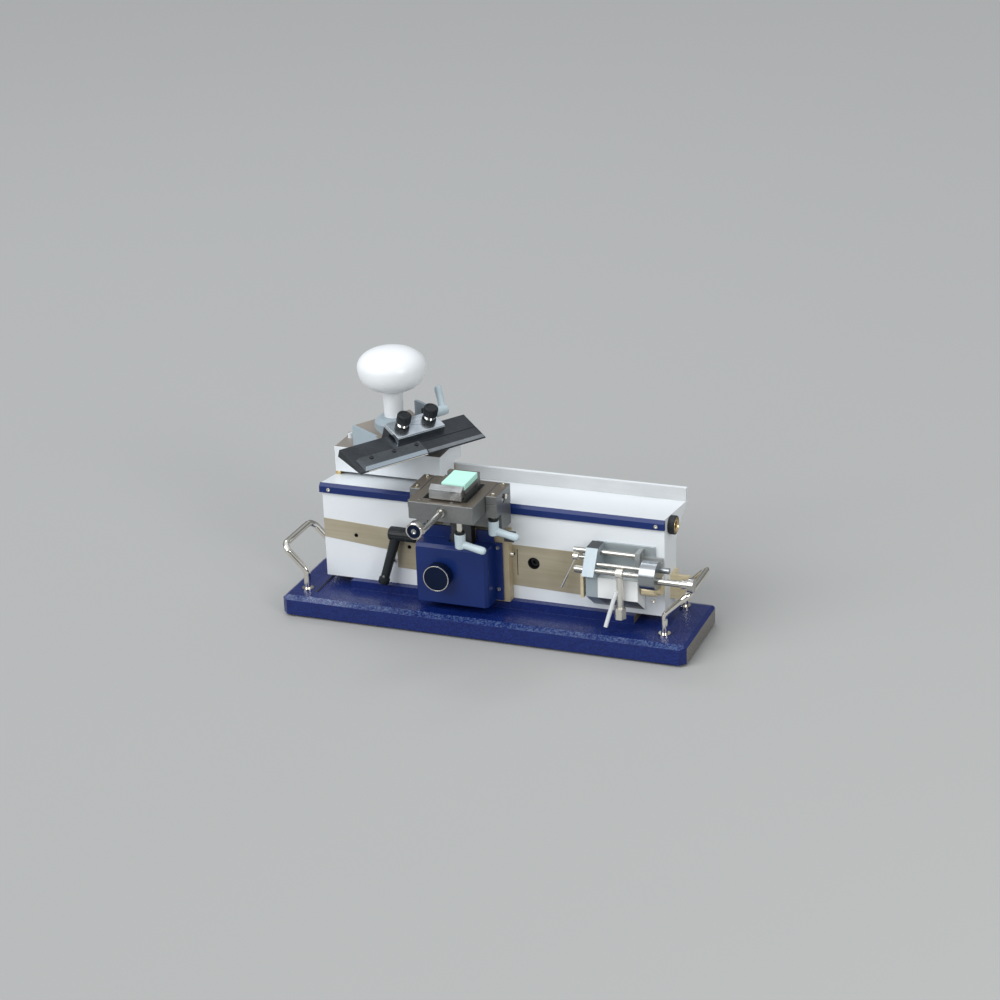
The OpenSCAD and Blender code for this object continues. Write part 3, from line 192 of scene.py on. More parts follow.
table_finish, tree, shader = new_finish("table_top", 0.9)
between(tree, effect(tree, cloudiness, Size=3.0).outputs["Mask"], (0.395, 0.397, 0.390), (0.401, 0.403, 0.396),
        shader.inputs["Base Color"])
table_mesh = bpy.data.meshes.new("table")
half = 12
table_mesh.from_pydata([(-half, -half, 0), (half, -half, 0), (half, half, 0), (-half, half, 0)], [],
                       [(0, 1, 2, 3)])
table = bpy.data.objects.new("table", table_mesh)
table.data.materials.append(table_finish)
bpy.context.scene.collection.objects.link(table)


# ---- Base casting ----
# An iron casting with a sloped margin, sprayed with dark blue hammered enamel. The drops run
# together into shallow cells about two millimetres across. On the sloped margin, single cells
# are painted light blue: painted glints of highlight.
def dress(node, finish, edge=0.3):
    """Gives a part of the frame its finish and breaks its sharp edges by some tenths of a millimetre."""
    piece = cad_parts[node]
    for place in piece.material_slots:
        place.material = finish
    if edge:
        join = piece.modifiers.new("joined_corners", "WELD")
        join.merge_threshold = 0.00001
        ease = piece.modifiers.new("eased_edges", "BEVEL")
        ease.width = edge / 1000
        ease.segments = 2
        ease.limit_method = "ANGLE"
        ease.angle_limit = math.radians(32)
        ease.use_clamp_overlap = True
        ease.harden_normals = False
        even = piece.modifiers.new("even_faces", "WEIGHTED_NORMAL")
        even.keep_sharp = True


hammered, cells_in, cells_out = new_effect("hammered_cells", {"Size": 430.0}, {}, ["Height", "Rim", "Painted Glint"])
cells_place = hammered.nodes.new("ShaderNodeTexCoord")
cells_drift = hammered.nodes.new("ShaderNodeTexNoise")
cells_drift.inputs["Scale"].default_value = 260
cells_sway = hammered.nodes.new("ShaderNodeVectorMath")
cells_sway.operation = "MULTIPLY_ADD"
cells_sway.inputs[1].default_value = (0.0016, 0.0016, 0.0016)
cells = hammered.nodes.new("ShaderNodeTexVoronoi")
cells.feature = "SMOOTH_F1"
cells.inputs["Smoothness"].default_value = 0.35
hammered.links.new(cells_place.outputs["Object"], cells_drift.inputs["Vector"])
hammered.links.new(cells_drift.outputs["Color"], cells_sway.inputs[0])
hammered.links.new(cells_place.outputs["Object"], cells_sway.inputs[2])
hammered.links.new(cells_sway.outputs["Vector"], cells.inputs["Vector"])
hammered.links.new(cells_in.outputs["Size"], cells.inputs["Scale"])
hammered.links.new(cells.outputs["Distance"], cells_out.inputs["Height"])
cells_rim = hammered.nodes.new("ShaderNodeMapRange")
cells_rim.inputs["From Min"].default_value = 0.25
cells_rim.inputs["From Max"].default_value = 0.6
hammered.links.new(cells.outputs["Distance"], cells_rim.inputs["Value"])
hammered.links.new(cells_rim.outputs["Result"], cells_out.inputs["Rim"])
# A random pick of cells, for the painted glints of highlight on the sloped margin.
cells_pick = hammered.nodes.new("ShaderNodeTexVoronoi")
cells_painted_glint = hammered.nodes.new("ShaderNodeMapRange")
cells_painted_glint.inputs["From Min"].default_value = 0.35
cells_painted_glint.inputs["From Max"].default_value = 0.95
hammered.links.new(cells_sway.outputs["Vector"], cells_pick.inputs["Vector"])
cells_pick.inputs["Scale"].default_value = 620
hammered.links.new(cells_pick.outputs["Color"], cells_painted_glint.inputs["Value"])
hammered.links.new(cells_painted_glint.outputs["Result"], cells_out.inputs["Painted Glint"])

facing, facing_in, facing_out = new_effect(
    "facing_side", {"Low": 0.96, "High": 0.99}, {"Side": (0.0, 0.0, 1.0)}, ["Mask"])
facing_place = facing.nodes.new("ShaderNodeTexCoord")
facing_turn = facing.nodes.new("ShaderNodeVectorMath")
facing_turn.operation = "DOT_PRODUCT"
facing_step = facing.nodes.new("ShaderNodeMapRange")
facing.links.new(facing_place.outputs["Normal"], facing_turn.inputs[0])
facing.links.new(facing_in.outputs["Side"], facing_turn.inputs[1])
facing.links.new(facing_turn.outputs["Value"], facing_step.inputs["Value"])
facing.links.new(facing_in.outputs["Low"], facing_step.inputs["From Min"])
facing.links.new(facing_in.outputs["High"], facing_step.inputs["From Max"])
facing.links.new(facing_step.outputs["Result"], facing_out.inputs["Mask"])

navy_hammered, tree, shader = new_finish("navy_hammered_enamel", 0.32, coat=0.15, coat_rough=0.15, gloss=0.35)
drops = effect(tree, hammered, Size=430.0)
margin = effect(tree, facing, Side=(0.0, -0.316, 0.949), Low=0.965, High=0.985)
# Cells on the sloped margin are painted light blue: painted glints of highlight.
painted_glints = tree.nodes.new("ShaderNodeMath")
painted_glints.operation = "MULTIPLY"
tree.links.new(drops.outputs["Painted Glint"], painted_glints.inputs[0])
tree.links.new(margin.outputs["Mask"], painted_glints.inputs[1])
plain_navy = between(tree, drops.outputs["Rim"], (0.006, 0.023, 0.155), (0.002, 0.011, 0.100), None)
navy_with_painted_glints = between(tree, painted_glints.outputs["Value"], plain_navy, (0.085, 0.135, 0.27), None)
# Faces looking to the right are painted brownish gray over the navy: a painted reflection of the warm room.
between(tree, effect(tree, facing, Side=(1.0, 0.0, 0.0), Low=0.9, High=1.0).outputs["Mask"], navy_with_painted_glints,
        (0.15, 0.14, 0.125), shader.inputs["Base Color"])
spread(tree, drops.outputs["Rim"], 0.26, 0.42, shader.inputs["Roughness"])
relief(tree, drops.outputs["Height"], 0.35, shader)
dress("base_plate", navy_hammered, 1.2)

# ---- Rubber feet ----
# Four turned rubber feet let into the casting's underside; matt, with a dusty bloom.
black_rubber, tree, shader = new_finish("black_rubber", 0.8)
between(tree, effect(tree, cloudiness, Size=60.0).outputs["Mask"], (0.02, 0.02, 0.02), (0.045, 0.045, 0.045),
        shader.inputs["Base Color"])
dress("rubber_feet", black_rubber, 0.6)

# ---- Carrying handles ----
# Two bails of steel tube, bent cold and chromium plated, with smears from use and patches painted
# cream, a painted reflection of the warm room. Each stands on two flanged feet screwed to the raised end of the
# casting.
chrome, tree, shader = new_finish("bright_chrome", 0.08, metal=1.0)
smears_and_painted_reflections = effect(tree, cloudiness, Size=38.0, Fineness=3.0)
# The cream patches of the colour are painted reflections; the same mask roughens the smears.
between(tree, smears_and_painted_reflections.outputs["Mask"], (0.72, 0.66, 0.54), (0.90, 0.89, 0.85), shader.inputs["Base Color"])
spread(tree, smears_and_painted_reflections.outputs["Mask"], 0.03, 0.15, shader.inputs["Roughness"])
dress("handle_left", chrome, 0.3)
dress("handle_right", chrome, 0.3)

# ---- Bed casting ----
# The hollow iron casting is filled, rubbed down and sprayed cool white; the skin has a faint
# orange peel and slightly duller patches.
paint_skin, skin_in, skin_out = new_effect(
    "paint_skin", {"Size": 700.0, "Patches": 30.0}, {}, ["Peel", "Patch"])
skin_place = paint_skin.nodes.new("ShaderNodeTexCoord")
for label, inlet in (("Peel", "Size"), ("Patch", "Patches")):
    skin_noise = paint_skin.nodes.new("ShaderNodeTexNoise")
    skin_noise.inputs["Detail"].default_value = 3
    paint_skin.links.new(skin_place.outputs["Object"], skin_noise.inputs["Vector"])
    paint_skin.links.new(skin_in.outputs[inlet], skin_noise.inputs["Scale"])
    paint_skin.links.new(skin_noise.outputs["Fac"], skin_out.inputs[label])


def enamel(name, dark, light, rough, coat, peel, gloss=0.5, bare=None):
    """A smooth sprayed paint: two close shades, patchy gloss and a little orange peel. Faces that look
    in the bare direction are metal of another colour."""
    finish, tree, shader = new_finish(name, rough, coat=coat, coat_rough=0.08, gloss=gloss)
    skin = effect(tree, paint_skin)
    paint = between(tree, skin.outputs["Patch"], dark, light, shader.inputs["Base Color"])
    if bare:
        bare_side = effect(tree, facing, Side=bare[0], Low=0.99, High=0.996)
        between(tree, bare_side.outputs["Mask"], paint, bare[1], shader.inputs["Base Color"])
    spread(tree, skin.outputs["Patch"], rough - 0.08, rough + 0.1, shader.inputs["Roughness"])
    relief(tree, skin.outputs["Peel"], peel, shader)
    return finish


white_enamel = enamel("white_enamel", (0.76, 0.80, 0.83), (0.80, 0.835, 0.86), 0.34, 0.15, 0.035)
dress("bed", white_enamel, 0.7)

# ---- Way strip ----
# A strip of hardened steel screwed to the back wall of the way and ground lengthways in one
# pass, so its marks run the whole length.
grinding, marks_in, marks_out = new_effect(
    "grinding_marks", {"Blotches": 25.0}, {"Turn": (0.0, 0.0, 0.0), "Fineness": (30.0, 900.0, 900.0)},
    ["Lines", "Blotch"])
marks_place = grinding.nodes.new("ShaderNodeTexCoord")
marks_turn = grinding.nodes.new("ShaderNodeMapping")
marks_noise = grinding.nodes.new("ShaderNodeTexNoise")
marks_noise.inputs["Scale"].default_value = 1
marks_noise.inputs["Detail"].default_value = 4
marks_blotch = grinding.nodes.new("ShaderNodeTexNoise")
marks_blotch.inputs["Detail"].default_value = 3
grinding.links.new(marks_place.outputs["Object"], marks_turn.inputs["Vector"])
grinding.links.new(marks_in.outputs["Turn"], marks_turn.inputs["Rotation"])
grinding.links.new(marks_in.outputs["Fineness"], marks_turn.inputs["Scale"])
grinding.links.new(marks_turn.outputs["Vector"], marks_noise.inputs["Vector"])
grinding.links.new(marks_noise.outputs["Fac"], marks_out.inputs["Lines"])
grinding.links.new(marks_place.outputs["Object"], marks_blotch.inputs["Vector"])
grinding.links.new(marks_in.outputs["Blotches"], marks_blotch.inputs["Scale"])
grinding.links.new(marks_blotch.outputs["Fac"], marks_out.inputs["Blotch"])


def ground_metal(name, dark, light, rough, fineness, turn=(0, 0, 0), depth=0.02, metal=1.0, blotches=25.0,
                 streaks=0.5, side=None):
    """Bare metal with its machining marks; fineness is the number of marks a metre on each axis. Side is
    a direction and a colour: faces that look that way take the colour."""
    finish, tree, shader = new_finish(name, rough, metal=metal)
    marks = effect(tree, grinding, Fineness=fineness, Turn=turn, Blotches=blotches)
    tone = tree.nodes.new("ShaderNodeMix")
    tone.inputs["Factor"].default_value = streaks
    tree.links.new(marks.outputs["Blotch"], tone.inputs["A"])
    tree.links.new(marks.outputs["Lines"], tone.inputs["B"])
    steep = tree.nodes.new("ShaderNodeMapRange")
    steep.inputs["From Min"].default_value = 0.3
    steep.inputs["From Max"].default_value = 0.7
    tree.links.new(tone.outputs["Result"], steep.inputs["Value"])
    metal_tone = between(tree, steep.outputs["Result"], dark, light, shader.inputs["Base Color"])
    if side:
        turned_side = effect(tree, facing, Side=side[0], Low=0.95, High=0.98)
        between(tree, turned_side.outputs["Mask"], metal_tone, side[1], shader.inputs["Base Color"])
    spread(tree, marks.outputs["Blotch"], rough - 0.08, rough + 0.08, shader.inputs["Roughness"])
    relief(tree, marks.outputs["Lines"], depth, shader)
    return finish


ground_steel = ground_metal("ground_steel", (0.50, 0.515, 0.52), (0.60, 0.61, 0.615), 0.38, (14, 700, 700),
                            metal=0.35, streaks=0.35)
dress("way_wall", ground_steel, 0.2)

# ---- Cover rail ----
# A rolled steel strip with a bevelled top, in smooth dark blue enamel. It is screwed along the
# front edge of the way and covers the joint.
navy_enamel = enamel("navy_enamel", (0.004, 0.018, 0.115), (0.006, 0.024, 0.140), 0.36, 0.1, 0.02, gloss=0.3)
dress("cover_rail", navy_enamel, 0.5)

# ---- Guide faces ----
# The two bare faces milled and ground on the bed's front, for the carriage to slide on; oil has
# tinted the steel sand colour.
sand_steel = ground_metal("sand_ground_steel", (0.38, 0.33, 0.225), (0.56, 0.505, 0.385), 0.42, (10, 400, 260),
                          metal=0.4, blotches=14.0, streaks=0.28)
dress("guide_band", sand_steel, 0.2)

# ---- Screws of the front ----
# Small socket screws with bright plated heads. They hold the cover rail, the housing's flange
# and the plates on the bed.
dress("front_screws", chrome, 0.15)

# ---- Lug on the right end ----
# A short angle of steel plate, zinc plated and passivated yellow; it is screwed to the bed's
# right end.
cream_plate = ground_metal("yellow_passivated_plate", (0.66, 0.54, 0.32), (0.86, 0.76, 0.52), 0.34,
                           (60, 200, 500), metal=0.3)
dress("end_lug", cream_plate, 0.3)

# ---- Carriage plate ----
# A thick ground plate of the same sand-tinted steel that carries the feed housing on the guide
# faces, and a dark blued block that stops it.
sand_plate = ground_metal("sand_plate_steel", (0.40, 0.33, 0.21), (0.56, 0.48, 0.32), 0.4, (500, 500, 14),
                          metal=0.4, streaks=0.3)
dress("carriage_plate", sand_plate, 0.4)
blued_steel = ground_metal("blued_steel", (0.035, 0.038, 0.042), (0.075, 0.08, 0.085), 0.38, (300, 300, 300),
                           metal=0.6)
dress("slide_stop", blued_steel, 0.3)

# ---- Feed housing ----
# A shell bent and welded from sheet with softly rounded corners, in smooth dark blue enamel. A
# turned brass bush in its front wall carries the feed shaft.
dress("feed_housing", navy_enamel, 1.0)
turned_brass = ground_metal("turned_brass", (0.46, 0.33, 0.14), (0.72, 0.56, 0.30), 0.26, (500, 500, 500))
dress("shaft_bush", turned_brass, 0.2)

# ---- Feed knob, its ring and shaft ----
# The knob is moulded in almost black blue, with a thin bright ring pressed round its face. Its
# turned steel shaft ends in a pinion that lifts the rack, which is painted near black as painted shade under the
# frame.
def moulded(name, dark, light, rough, coat, grain, gloss=0.5):
    """Moulded plastic with a very fine grain in its skin."""
    finish, tree, shader = new_finish(name, rough, coat=coat, coat_rough=0.1, gloss=gloss)
    skin = effect(tree, paint_skin, Size=1600.0, Patches=45.0)
    between(tree, skin.outputs["Patch"], dark, light, shader.inputs["Base Color"])
    spread(tree, skin.outputs["Patch"], rough - 0.06, rough + 0.08, shader.inputs["Roughness"])
    relief(tree, skin.outputs["Peel"], grain, shader)
    return finish


navy_plastic = moulded("navy_plastic", (0.002, 0.006, 0.022), (0.005, 0.011, 0.034), 0.34, 0.0, 0.02, gloss=0.1)
dress("feed_knob", navy_plastic, 0.8)
dress("knob_ring", chrome, 0.1)
cut_steel = ground_metal("cut_steel", (0.40, 0.40, 0.40), (0.58, 0.58, 0.57), 0.3, (400, 400, 400))
dress("feed_pinion", cut_steel, 0.1)
# The rack takes the near-black blued finish as painted shade: it stands in the shadow under the frame.
dress("feed_rack", blued_steel, 0.1)


# ---- Big clamping lever ----
# Black glass-filled plastic: a fluted hub on a turned steel stud, a tapering arm and a stepped
# foot with a steel pin through it.
def turned(name, outline, place, finishes, body, flutes=0, steps=72, crisp=35):
    """A body of revolution on the third axis of place. The outline holds (radius, height, finish
    number, flute depth) in millimetres, from one end to the other; a radius of 0 closes it."""
    form = bmesh.new()
    rings = []
    for radius, height, _, depth in outline:
        if radius == 0:
            rings.append([form.verts.new(place @ (Vector((0, 0, height)) / 1000))])
            continue
        ring = []
        for step in range(steps):
            angle = 2 * math.pi * step / steps
            reach = radius - depth * (0.5 + 0.5 * math.cos(flutes * angle))
            ring.append(form.verts.new(place @ (Vector((reach * math.cos(angle), reach * math.sin(angle),
                                                        height)) / 1000)))
        rings.append(ring)
    for number, (lower, upper) in enumerate(zip(rings, rings[1:])):
        for step in range(steps):
            after = (step + 1) % steps
            if len(lower) == 1 and len(upper) == 1:
                continue
            if len(lower) == 1:
                face = form.faces.new((lower[0], upper[after], upper[step]))
            elif len(upper) == 1:
                face = form.faces.new((lower[step], lower[after], upper[0]))
            else:
                face = form.faces.new((lower[step], lower[after], upper[after], upper[step]))
            face.material_index = outline[number + 1][2]
            face.smooth = True
    bmesh.ops.recalc_face_normals(form, faces=form.faces)
    mesh = bpy.data.meshes.new(name)
    form.to_mesh(mesh)
    form.free()
    mesh.set_sharp_from_angle(angle=math.radians(crisp))
    piece = bpy.data.objects.new(name, mesh)
    for finish in finishes:
        mesh.materials.append(finish)
    bpy.context.scene.collection.objects.link(piece)
    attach(piece, body)
    return piece


def axis_from(point, direction):
    """A place whose third axis points along the given direction."""
    return Matrix.Translation(point) @ Vector(direction).to_track_quat("Z", "Y").to_matrix().to_4x4()


black_plastic = moulded("black_plastic", (0.009, 0.011, 0.013), (0.018, 0.022, 0.025), 0.4, 0.0, 0.03, gloss=0.3)
hub_start, clamp_back, clamp_height, arm_start = 123.7, 50, 76.4, 9
clamp_hub = turned(
    "clamp_lever_hub",
    [(0, 0, 0, 0), (6.9, 0, 0, 0), (7.9, 0.8, 0, 0), (8.5, 1.6, 0, 0.9), (8.5, 19.5, 0, 0.9), (7.9, 20.2, 0, 0),
     (7.9, 21.4, 0, 0), (8.5, 22, 0, 0.9), (8.5, 32.6, 0, 0.9), (7.4, 34, 0, 0), (0, 34, 0, 0)],
    axis_from(at(hub_start, clamp_back, clamp_height), (1, 0, 0)), [black_plastic], "clamp_lever",
    flutes=12)
arm_axis = (Matrix.Rotation(math.radians(-5), 3, "X") @ Matrix.Rotation(math.radians(16), 3, "Y")
            @ Vector((0, 0, -1)))
arm_root = at(hub_start + arm_start, clamp_back, clamp_height)
turned(
    "clamp_lever_arm",
    [(0, 0, 0, 0), (6.6, 0.2, 0, 0), (6.3, 8, 0, 0), (5.7, 26, 0, 0), (5.3, 57, 0, 0), (5.5, 58.6, 0, 0),
     (6.6, 59.2, 0, 0), (6.6, 64.8, 0, 0), (5.9, 66, 0, 0), (0, 66, 0, 0)],
    axis_from(arm_root, arm_axis), [black_plastic], "clamp_lever")
turned(
    "clamp_lever_pin", [(0, 0, 0, 0), (1.3, 0, 0, 0), (1.3, 12.7, 0, 0), (0.7, 13.1, 0, 0), (0, 12.9, 0, 0)],
    axis_from(arm_root + arm_axis * 0.0545 - Vector((0, 0.0067, 0)), (0, 1, 0)), [cut_steel],
    "clamp_lever", steps=24)
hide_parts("clamp_lever")
dress("clamp_stud", cut_steel, 0.3)

# ---- Linings of the holes in the bed's front ----
# Black oxidised steel bushes let into the bed flush with the guide face, and the dark line of a
# narrow slit between the two halves of the face.
black_oxide = ground_metal("black_oxide", (0.010, 0.011, 0.012), (0.030, 0.031, 0.032), 0.34, (300, 300, 300),
                           metal=0.4)
for label, across, height, outline in (
        ("socket", 300, 55, [(0, 7.9), (2.6, 7.9), (2.8, 4.6), (4.9, 4.6), (5.1, 7.6), (6.5, 7.6), (6.7, 0.1),
                             (7.2, 0.1), (7.2, 8.3), (0, 8.3)]),
        ("left_hole", 75.7, 63.8, [(0, 6), (2.1, 6), (2.1, 0.1), (2.45, 0.1), (2.45, 7.9), (0, 7.9)]),
        ("right_hole", 143.8, 56.8, [(0, 6), (2.1, 6), (2.1, 0.1), (2.45, 0.1), (2.45, 7.9), (0, 7.9)])):
    turned(label + "_lining", [(radius, depth, 0, 0) for radius, depth in outline],
           axis_from(at(across, 59.5, height), (0, 1, 0)), [black_oxide], "frame", steps=48)


def plate(name, place, low, high, finish, body, edge=0.2):
    """A small plate between two corners, in millimetres of its own place, with eased edges."""
    form = bmesh.new()
    bmesh.ops.create_cube(form, size=1)
    for point in form.verts:
        point.co = place @ (Vector([(a + b) / 2 + c * (b - a) for a, b, c in zip(low, high, point.co)]) / 1000)
    bmesh.ops.bevel(form, geom=form.edges[:], offset=edge / 1000, segments=2, affect="EDGES", profile=0.6)
    mesh = bpy.data.meshes.new(name)
    form.to_mesh(mesh)
    form.free()
    mesh.materials.append(finish)
    piece = bpy.data.objects.new(name, mesh)
    bpy.context.scene.collection.objects.link(piece)
    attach(piece, body)
    return piece


plate("band_slit", Matrix.Translation(at(0, 0, 0)), (279.62, 59.45, 38.2), (280.38, 59.98, 70.8), black_oxide,
      "frame", 0.05)

# ---- Knob on the right end ----
# A turned brass boss pressed into a black grooved rim; its face is left bright, with a turned
# ring and a centre. It screws on the bed's right end.
end_knob = turned(
    "end_knob_turned",
    [(0, 0, 0, 0), (10.3, 0, 0, 0), (10.95, 0.7, 0, 0), (10.95, 1.6, 0, 0.35), (10.95, 6.4, 0, 0.35),
     (10.9, 7.2, 0, 0),
     (10.3, 7.65, 0, 0), (9.3, 7.65, 0, 0), (8.7, 6.6, 1, 0), (7.3, 6.4, 1, 0), (6.7, 7.3, 1, 0),
     (5.2, 7.3, 1, 0),
     (4.8, 6.3, 1, 0), (2.6, 6.3, 0, 0), (2.5, 8.2, 1, 0), (1.9, 8.5, 1, 0), (0, 8.5, 1, 0)],
    axis_from(at(458.8, 80.5, 114.2), (1, 0, 0)), [black_plastic, turned_brass], "end_knob", flutes=40,
    steps=240)
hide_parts("end_knob")

# ---- Specimen fork and its bearings ----
# Milled from steel and phosphated to a warm brown gray; the faces keep fine cutter marks. The
# caps are held on the fork's blocks by bright screws, and the trunnions turn in them.
head_steel = ground_metal("phosphated_steel", (0.150, 0.154, 0.154), (0.225, 0.230, 0.228), 0.36, (220, 40, 220),
                          metal=0.5, depth=0.006, streaks=0.3, side=((0, 0, 1), (0.175, 0.150, 0.120)))
dress("head_fork", head_steel, 0.4)
dress("bearing_caps", head_steel, 0.5)
dress("cap_screws", chrome, 0.15)
dress("trunnions", cut_steel, 0.2)

# ---- Tilting frame, cradle and cassette seat ----
# Frame and cradle are open rings milled from the same phosphated steel, one inside the other.
# The seat is fixed in the cradle, and two small screws lie in the frame's front.
dress("tilt_frame", head_steel, 0.6)
dress("roll_cradle", head_steel, 0.4)
dress("cassette_seat", head_steel, 0.3)


def upright_at(x, y, z):
    """An upright place at millimetres from the base's corner."""
    return Matrix.Translation(at(x, y, z))


def small_screw(name, place, radius, height, finish, body):
    """A low domed screw head with a round recess, lying on the first two axes of its place."""
    return turned(name, [(0, height * 0.45, 0, 0), (radius * 0.5, height * 0.45, 0, 0),
                         (radius * 0.55, height, 0, 0), (radius * 0.85, height * 0.9, 0, 0),
                         (radius, height * 0.5, 0, 0), (radius, 0, 0, 0), (0, 0, 0, 0)],
                  place, [finish], body, steps=32)


for side, across in (("left", 193.5), ("right", 232.5)):
    small_screw("frame_screw_" + side, upright_at(across, -17.5, 153.35), 2.3, 1.1, head_steel, "tilt_frame")

# ---- Cassette ----
# A tissue cassette, injection moulded in mint plastic. It is held between the seat's back jaw
# and the front jaw.
mint_plastic = moulded("mint_plastic", (0.50, 0.87, 0.75), (0.55, 0.91, 0.80), 0.45, 0.0, 0.03, gloss=0.3)
dress("cassette", mint_plastic, 0.5)

# ---- Front jaw and its screw ----
# The jaw is hard-chromed and ground. Its screw is turned steel with a collar, and ends in a
# bright grooved knob with a dark blue face.
polished_steel = ground_metal("polished_steel", (0.34, 0.34, 0.34), (0.56, 0.57, 0.57), 0.24, (60, 300, 300),
                              depth=0.008, blotches=60.0)
dress("front_jaw", polished_steel, 0.3)
screw_steel = ground_metal("satin_screw_steel", (0.46, 0.45, 0.42), (0.68, 0.67, 0.64), 0.2, (500, 20, 500),
                           depth=0.004)
dress("jaw_screw", screw_steel, 0.2)
jaw_knob = turned(
    "jaw_knob_turned",
    [(0, 0.9, 2, 0), (1.3, 0.9, 2, 0), (2.2, 0.2, 2, 0), (3.1, 0.0, 2, 0), (3.3, 0.8, 2, 0), (7.9, 0.8, 0, 0),
     (8.1, 0.2, 1, 0), (8.9, 0.0, 1, 0), (9.7, 0.7, 1, 0), (9.8, 2.6, 1, 0), (9.8, 11.2, 1, 0.5),
     (9.2, 12, 0, 0), (5.6, 12.1, 0, 0), (5.3, 16, 1, 0), (3.7, 16, 1, 0)],
    axis_from(at(214.35, -87, 144.2), (0, 1, 0)), [navy_plastic, chrome, polished_steel], "jaw_screw",
    flutes=36, steps=216)
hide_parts("jaw_knob")

# ---- Small locking levers ----
# Pale gray moulded levers with a black ring over the hub, each on a bright steel stud. One
# clamps the frame's tilt and one the cradle's roll.
gray_plastic = moulded("gray_plastic", (0.50, 0.61, 0.66), (0.57, 0.67, 0.715), 0.32, 0.1, 0.02)


def locking_lever(name, node, place, stud_low, stud_high, body):
    """A lever in its own frame: ring and stud above the origin's hub, arm along the first axis."""
    hub = turned(
        name,
        [(0, stud_high, 2, 0), (3.3, stud_high, 2, 0), (3.3, 0, 2, 0), (3.6, 0, 1, 0), (5.1, 0, 1, 0),
         (5.7, -0.5, 1, 0), (5.7, -3.2, 1, 0), (6.0, -3.25, 0, 0), (6.4, -3.8, 0, 0), (6.15, -17.5, 0, 0),
         (5.9, -20, 0, 0), (4.8, -21.1, 0, 0), (0, -21.2, 0, 0)],
        place, [gray_plastic, black_plastic, chrome], body)
    droop = math.atan2(5.5, 26.5)
    arm_place = (place @ Matrix.Translation(Vector((0, 0, -15.5)) / 1000)
                 @ Matrix.Rotation(math.pi / 2 + droop, 4, "Y"))
    turned(
        name + "_arm",
        [(0, 0, 0, 0), (5.2, 0.1, 0, 0), (4.5, 6, 0, 0), (4.25, 12, 0, 0), (4.3, 19, 0, 0), (4.55, 25, 0, 0),
         (4.5, 27.2, 0, 0), (4.1, 29.3, 0, 0), (3.1, 30.6, 0, 0), (1.6, 31.3, 0, 0), (0, 31.5, 0, 0)],
        arm_place, [gray_plastic], body, crisp=60)
    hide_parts(node)


locking_lever("tilt_lever_hub", "tilt_lock_lever", upright_at(267.25, 20, 124.2), 0, 2.9, "tilt_lever")
locking_lever("roll_lever_hub", "roll_lock_lever", upright_at(238.5, -12, 117.4), 0, 14.7, "roll_lever")

# ---- Sledge ----
# A planed iron block in the bed's white enamel. The plate on top has painted sides and a bare
# ground face, and brass pads are screwed below.
dress("sledge", white_enamel, 0.8)
half_painted = enamel("white_enamel_bare_top", (0.76, 0.80, 0.83), (0.80, 0.835, 0.86), 0.34, 0.1, 0.03,
                      bare=((0.0, 0.0, 1.0), (0.25, 0.225, 0.20)))
dress("sledge_top", half_painted, 0.4)
dress("way_pads", turned_brass, 0.3)

# ---- Push knob and neck ----
# A turned hardwood mushroom on a turned neck, under many coats of polished white lacquer. The
# neck is screwed into the sledge's top.
white_lacquer, tree, shader = new_finish("white_lacquer", 0.3, coat=0.15, coat_rough=0.12)
skin = effect(tree, paint_skin, Size=120.0, Patches=18.0)
between(tree, skin.outputs["Patch"], (0.86, 0.89, 0.915), (0.885, 0.91, 0.93), shader.inputs["Base Color"])
relief(tree, skin.outputs["Peel"], 0.05, shader)
dress("knob_neck", white_lacquer, 0.4)
foot_radius, belly_radius, belly_height, crown_height, knob_height = 10.3, 40.95, 28.28, 22.18, 50.47
knob_outline = [(0, 0, 0, 0), (foot_radius - 0.1, 0, 0, 0)]
for angle in range(-87, 1, 3):
    turn = math.radians(angle)
    knob_outline.append((foot_radius + (belly_radius - foot_radius) * math.cos(turn) ** 0.78,
                         belly_height * (1 + math.sin(turn)), 0, 0))
for angle in range(3, 90, 3):
    turn = math.radians(angle)
    knob_outline.append((belly_radius * math.cos(turn) ** 0.86,
                         belly_height + crown_height * math.sin(turn), 0, 0))
knob_outline.append((0, knob_height, 0, 0))
neck_across, neck_back, neck_top = 101.4483, 129.9897, 227.5
push_knob = turned("push_knob_turned", knob_outline, upright_at(neck_across, neck_back, neck_top),
                   [white_lacquer], "sledge", steps=96, crisp=70)
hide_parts("push_knob")

# ---- Swivel base ----
# A light gray painted casting that turns about the neck, between two cheeks; its sloped deck is
# milled and left bare.
gray_enamel = enamel("light_gray_enamel", (0.33, 0.405, 0.45), (0.38, 0.45, 0.495), 0.34, 0.12, 0.03,
                     bare=((0.216, -0.138, 0.967), (0.27, 0.235, 0.20)))
dress("swivel_base", gray_enamel, 0.6)

# ---- Knife, blade and clamp ----
# The holder bar is hardened steel, black oxidised and ground along its length. Three blued
# screws press the clamp on a thin blade, and a saddle below carries the bar.
knife_turn, knife_lean = math.radians(57.5), math.radians(21)
knife_across, knife_back, knife_height = 119.6, -12, 174.5
knife_place = (Matrix.Translation(at(knife_across, knife_back, knife_height))
               @ Matrix.Rotation(knife_turn, 4, "Z") @ Matrix.Rotation(knife_lean, 4, "X"))
knife_steel = ground_metal("oxidised_knife_steel", (0.036, 0.041, 0.046), (0.070, 0.078, 0.088), 0.3,
                           (20, 500, 500), turn=(0, 0, -knife_turn), metal=0.8, depth=0.004, streaks=0.35)
dress("knife", knife_steel, 0.25)
dress("knife_saddle", knife_steel, 0.4)
clamp_steel = ground_metal("ground_clamp_steel", (0.070, 0.078, 0.086), (0.13, 0.142, 0.155), 0.26,
                           (20, 500, 500), turn=(0, 0, -knife_turn), metal=0.85, depth=0.004, streaks=0.4,
                           side=((0.575, -0.367, 0.732), (0.40, 0.46, 0.51)))
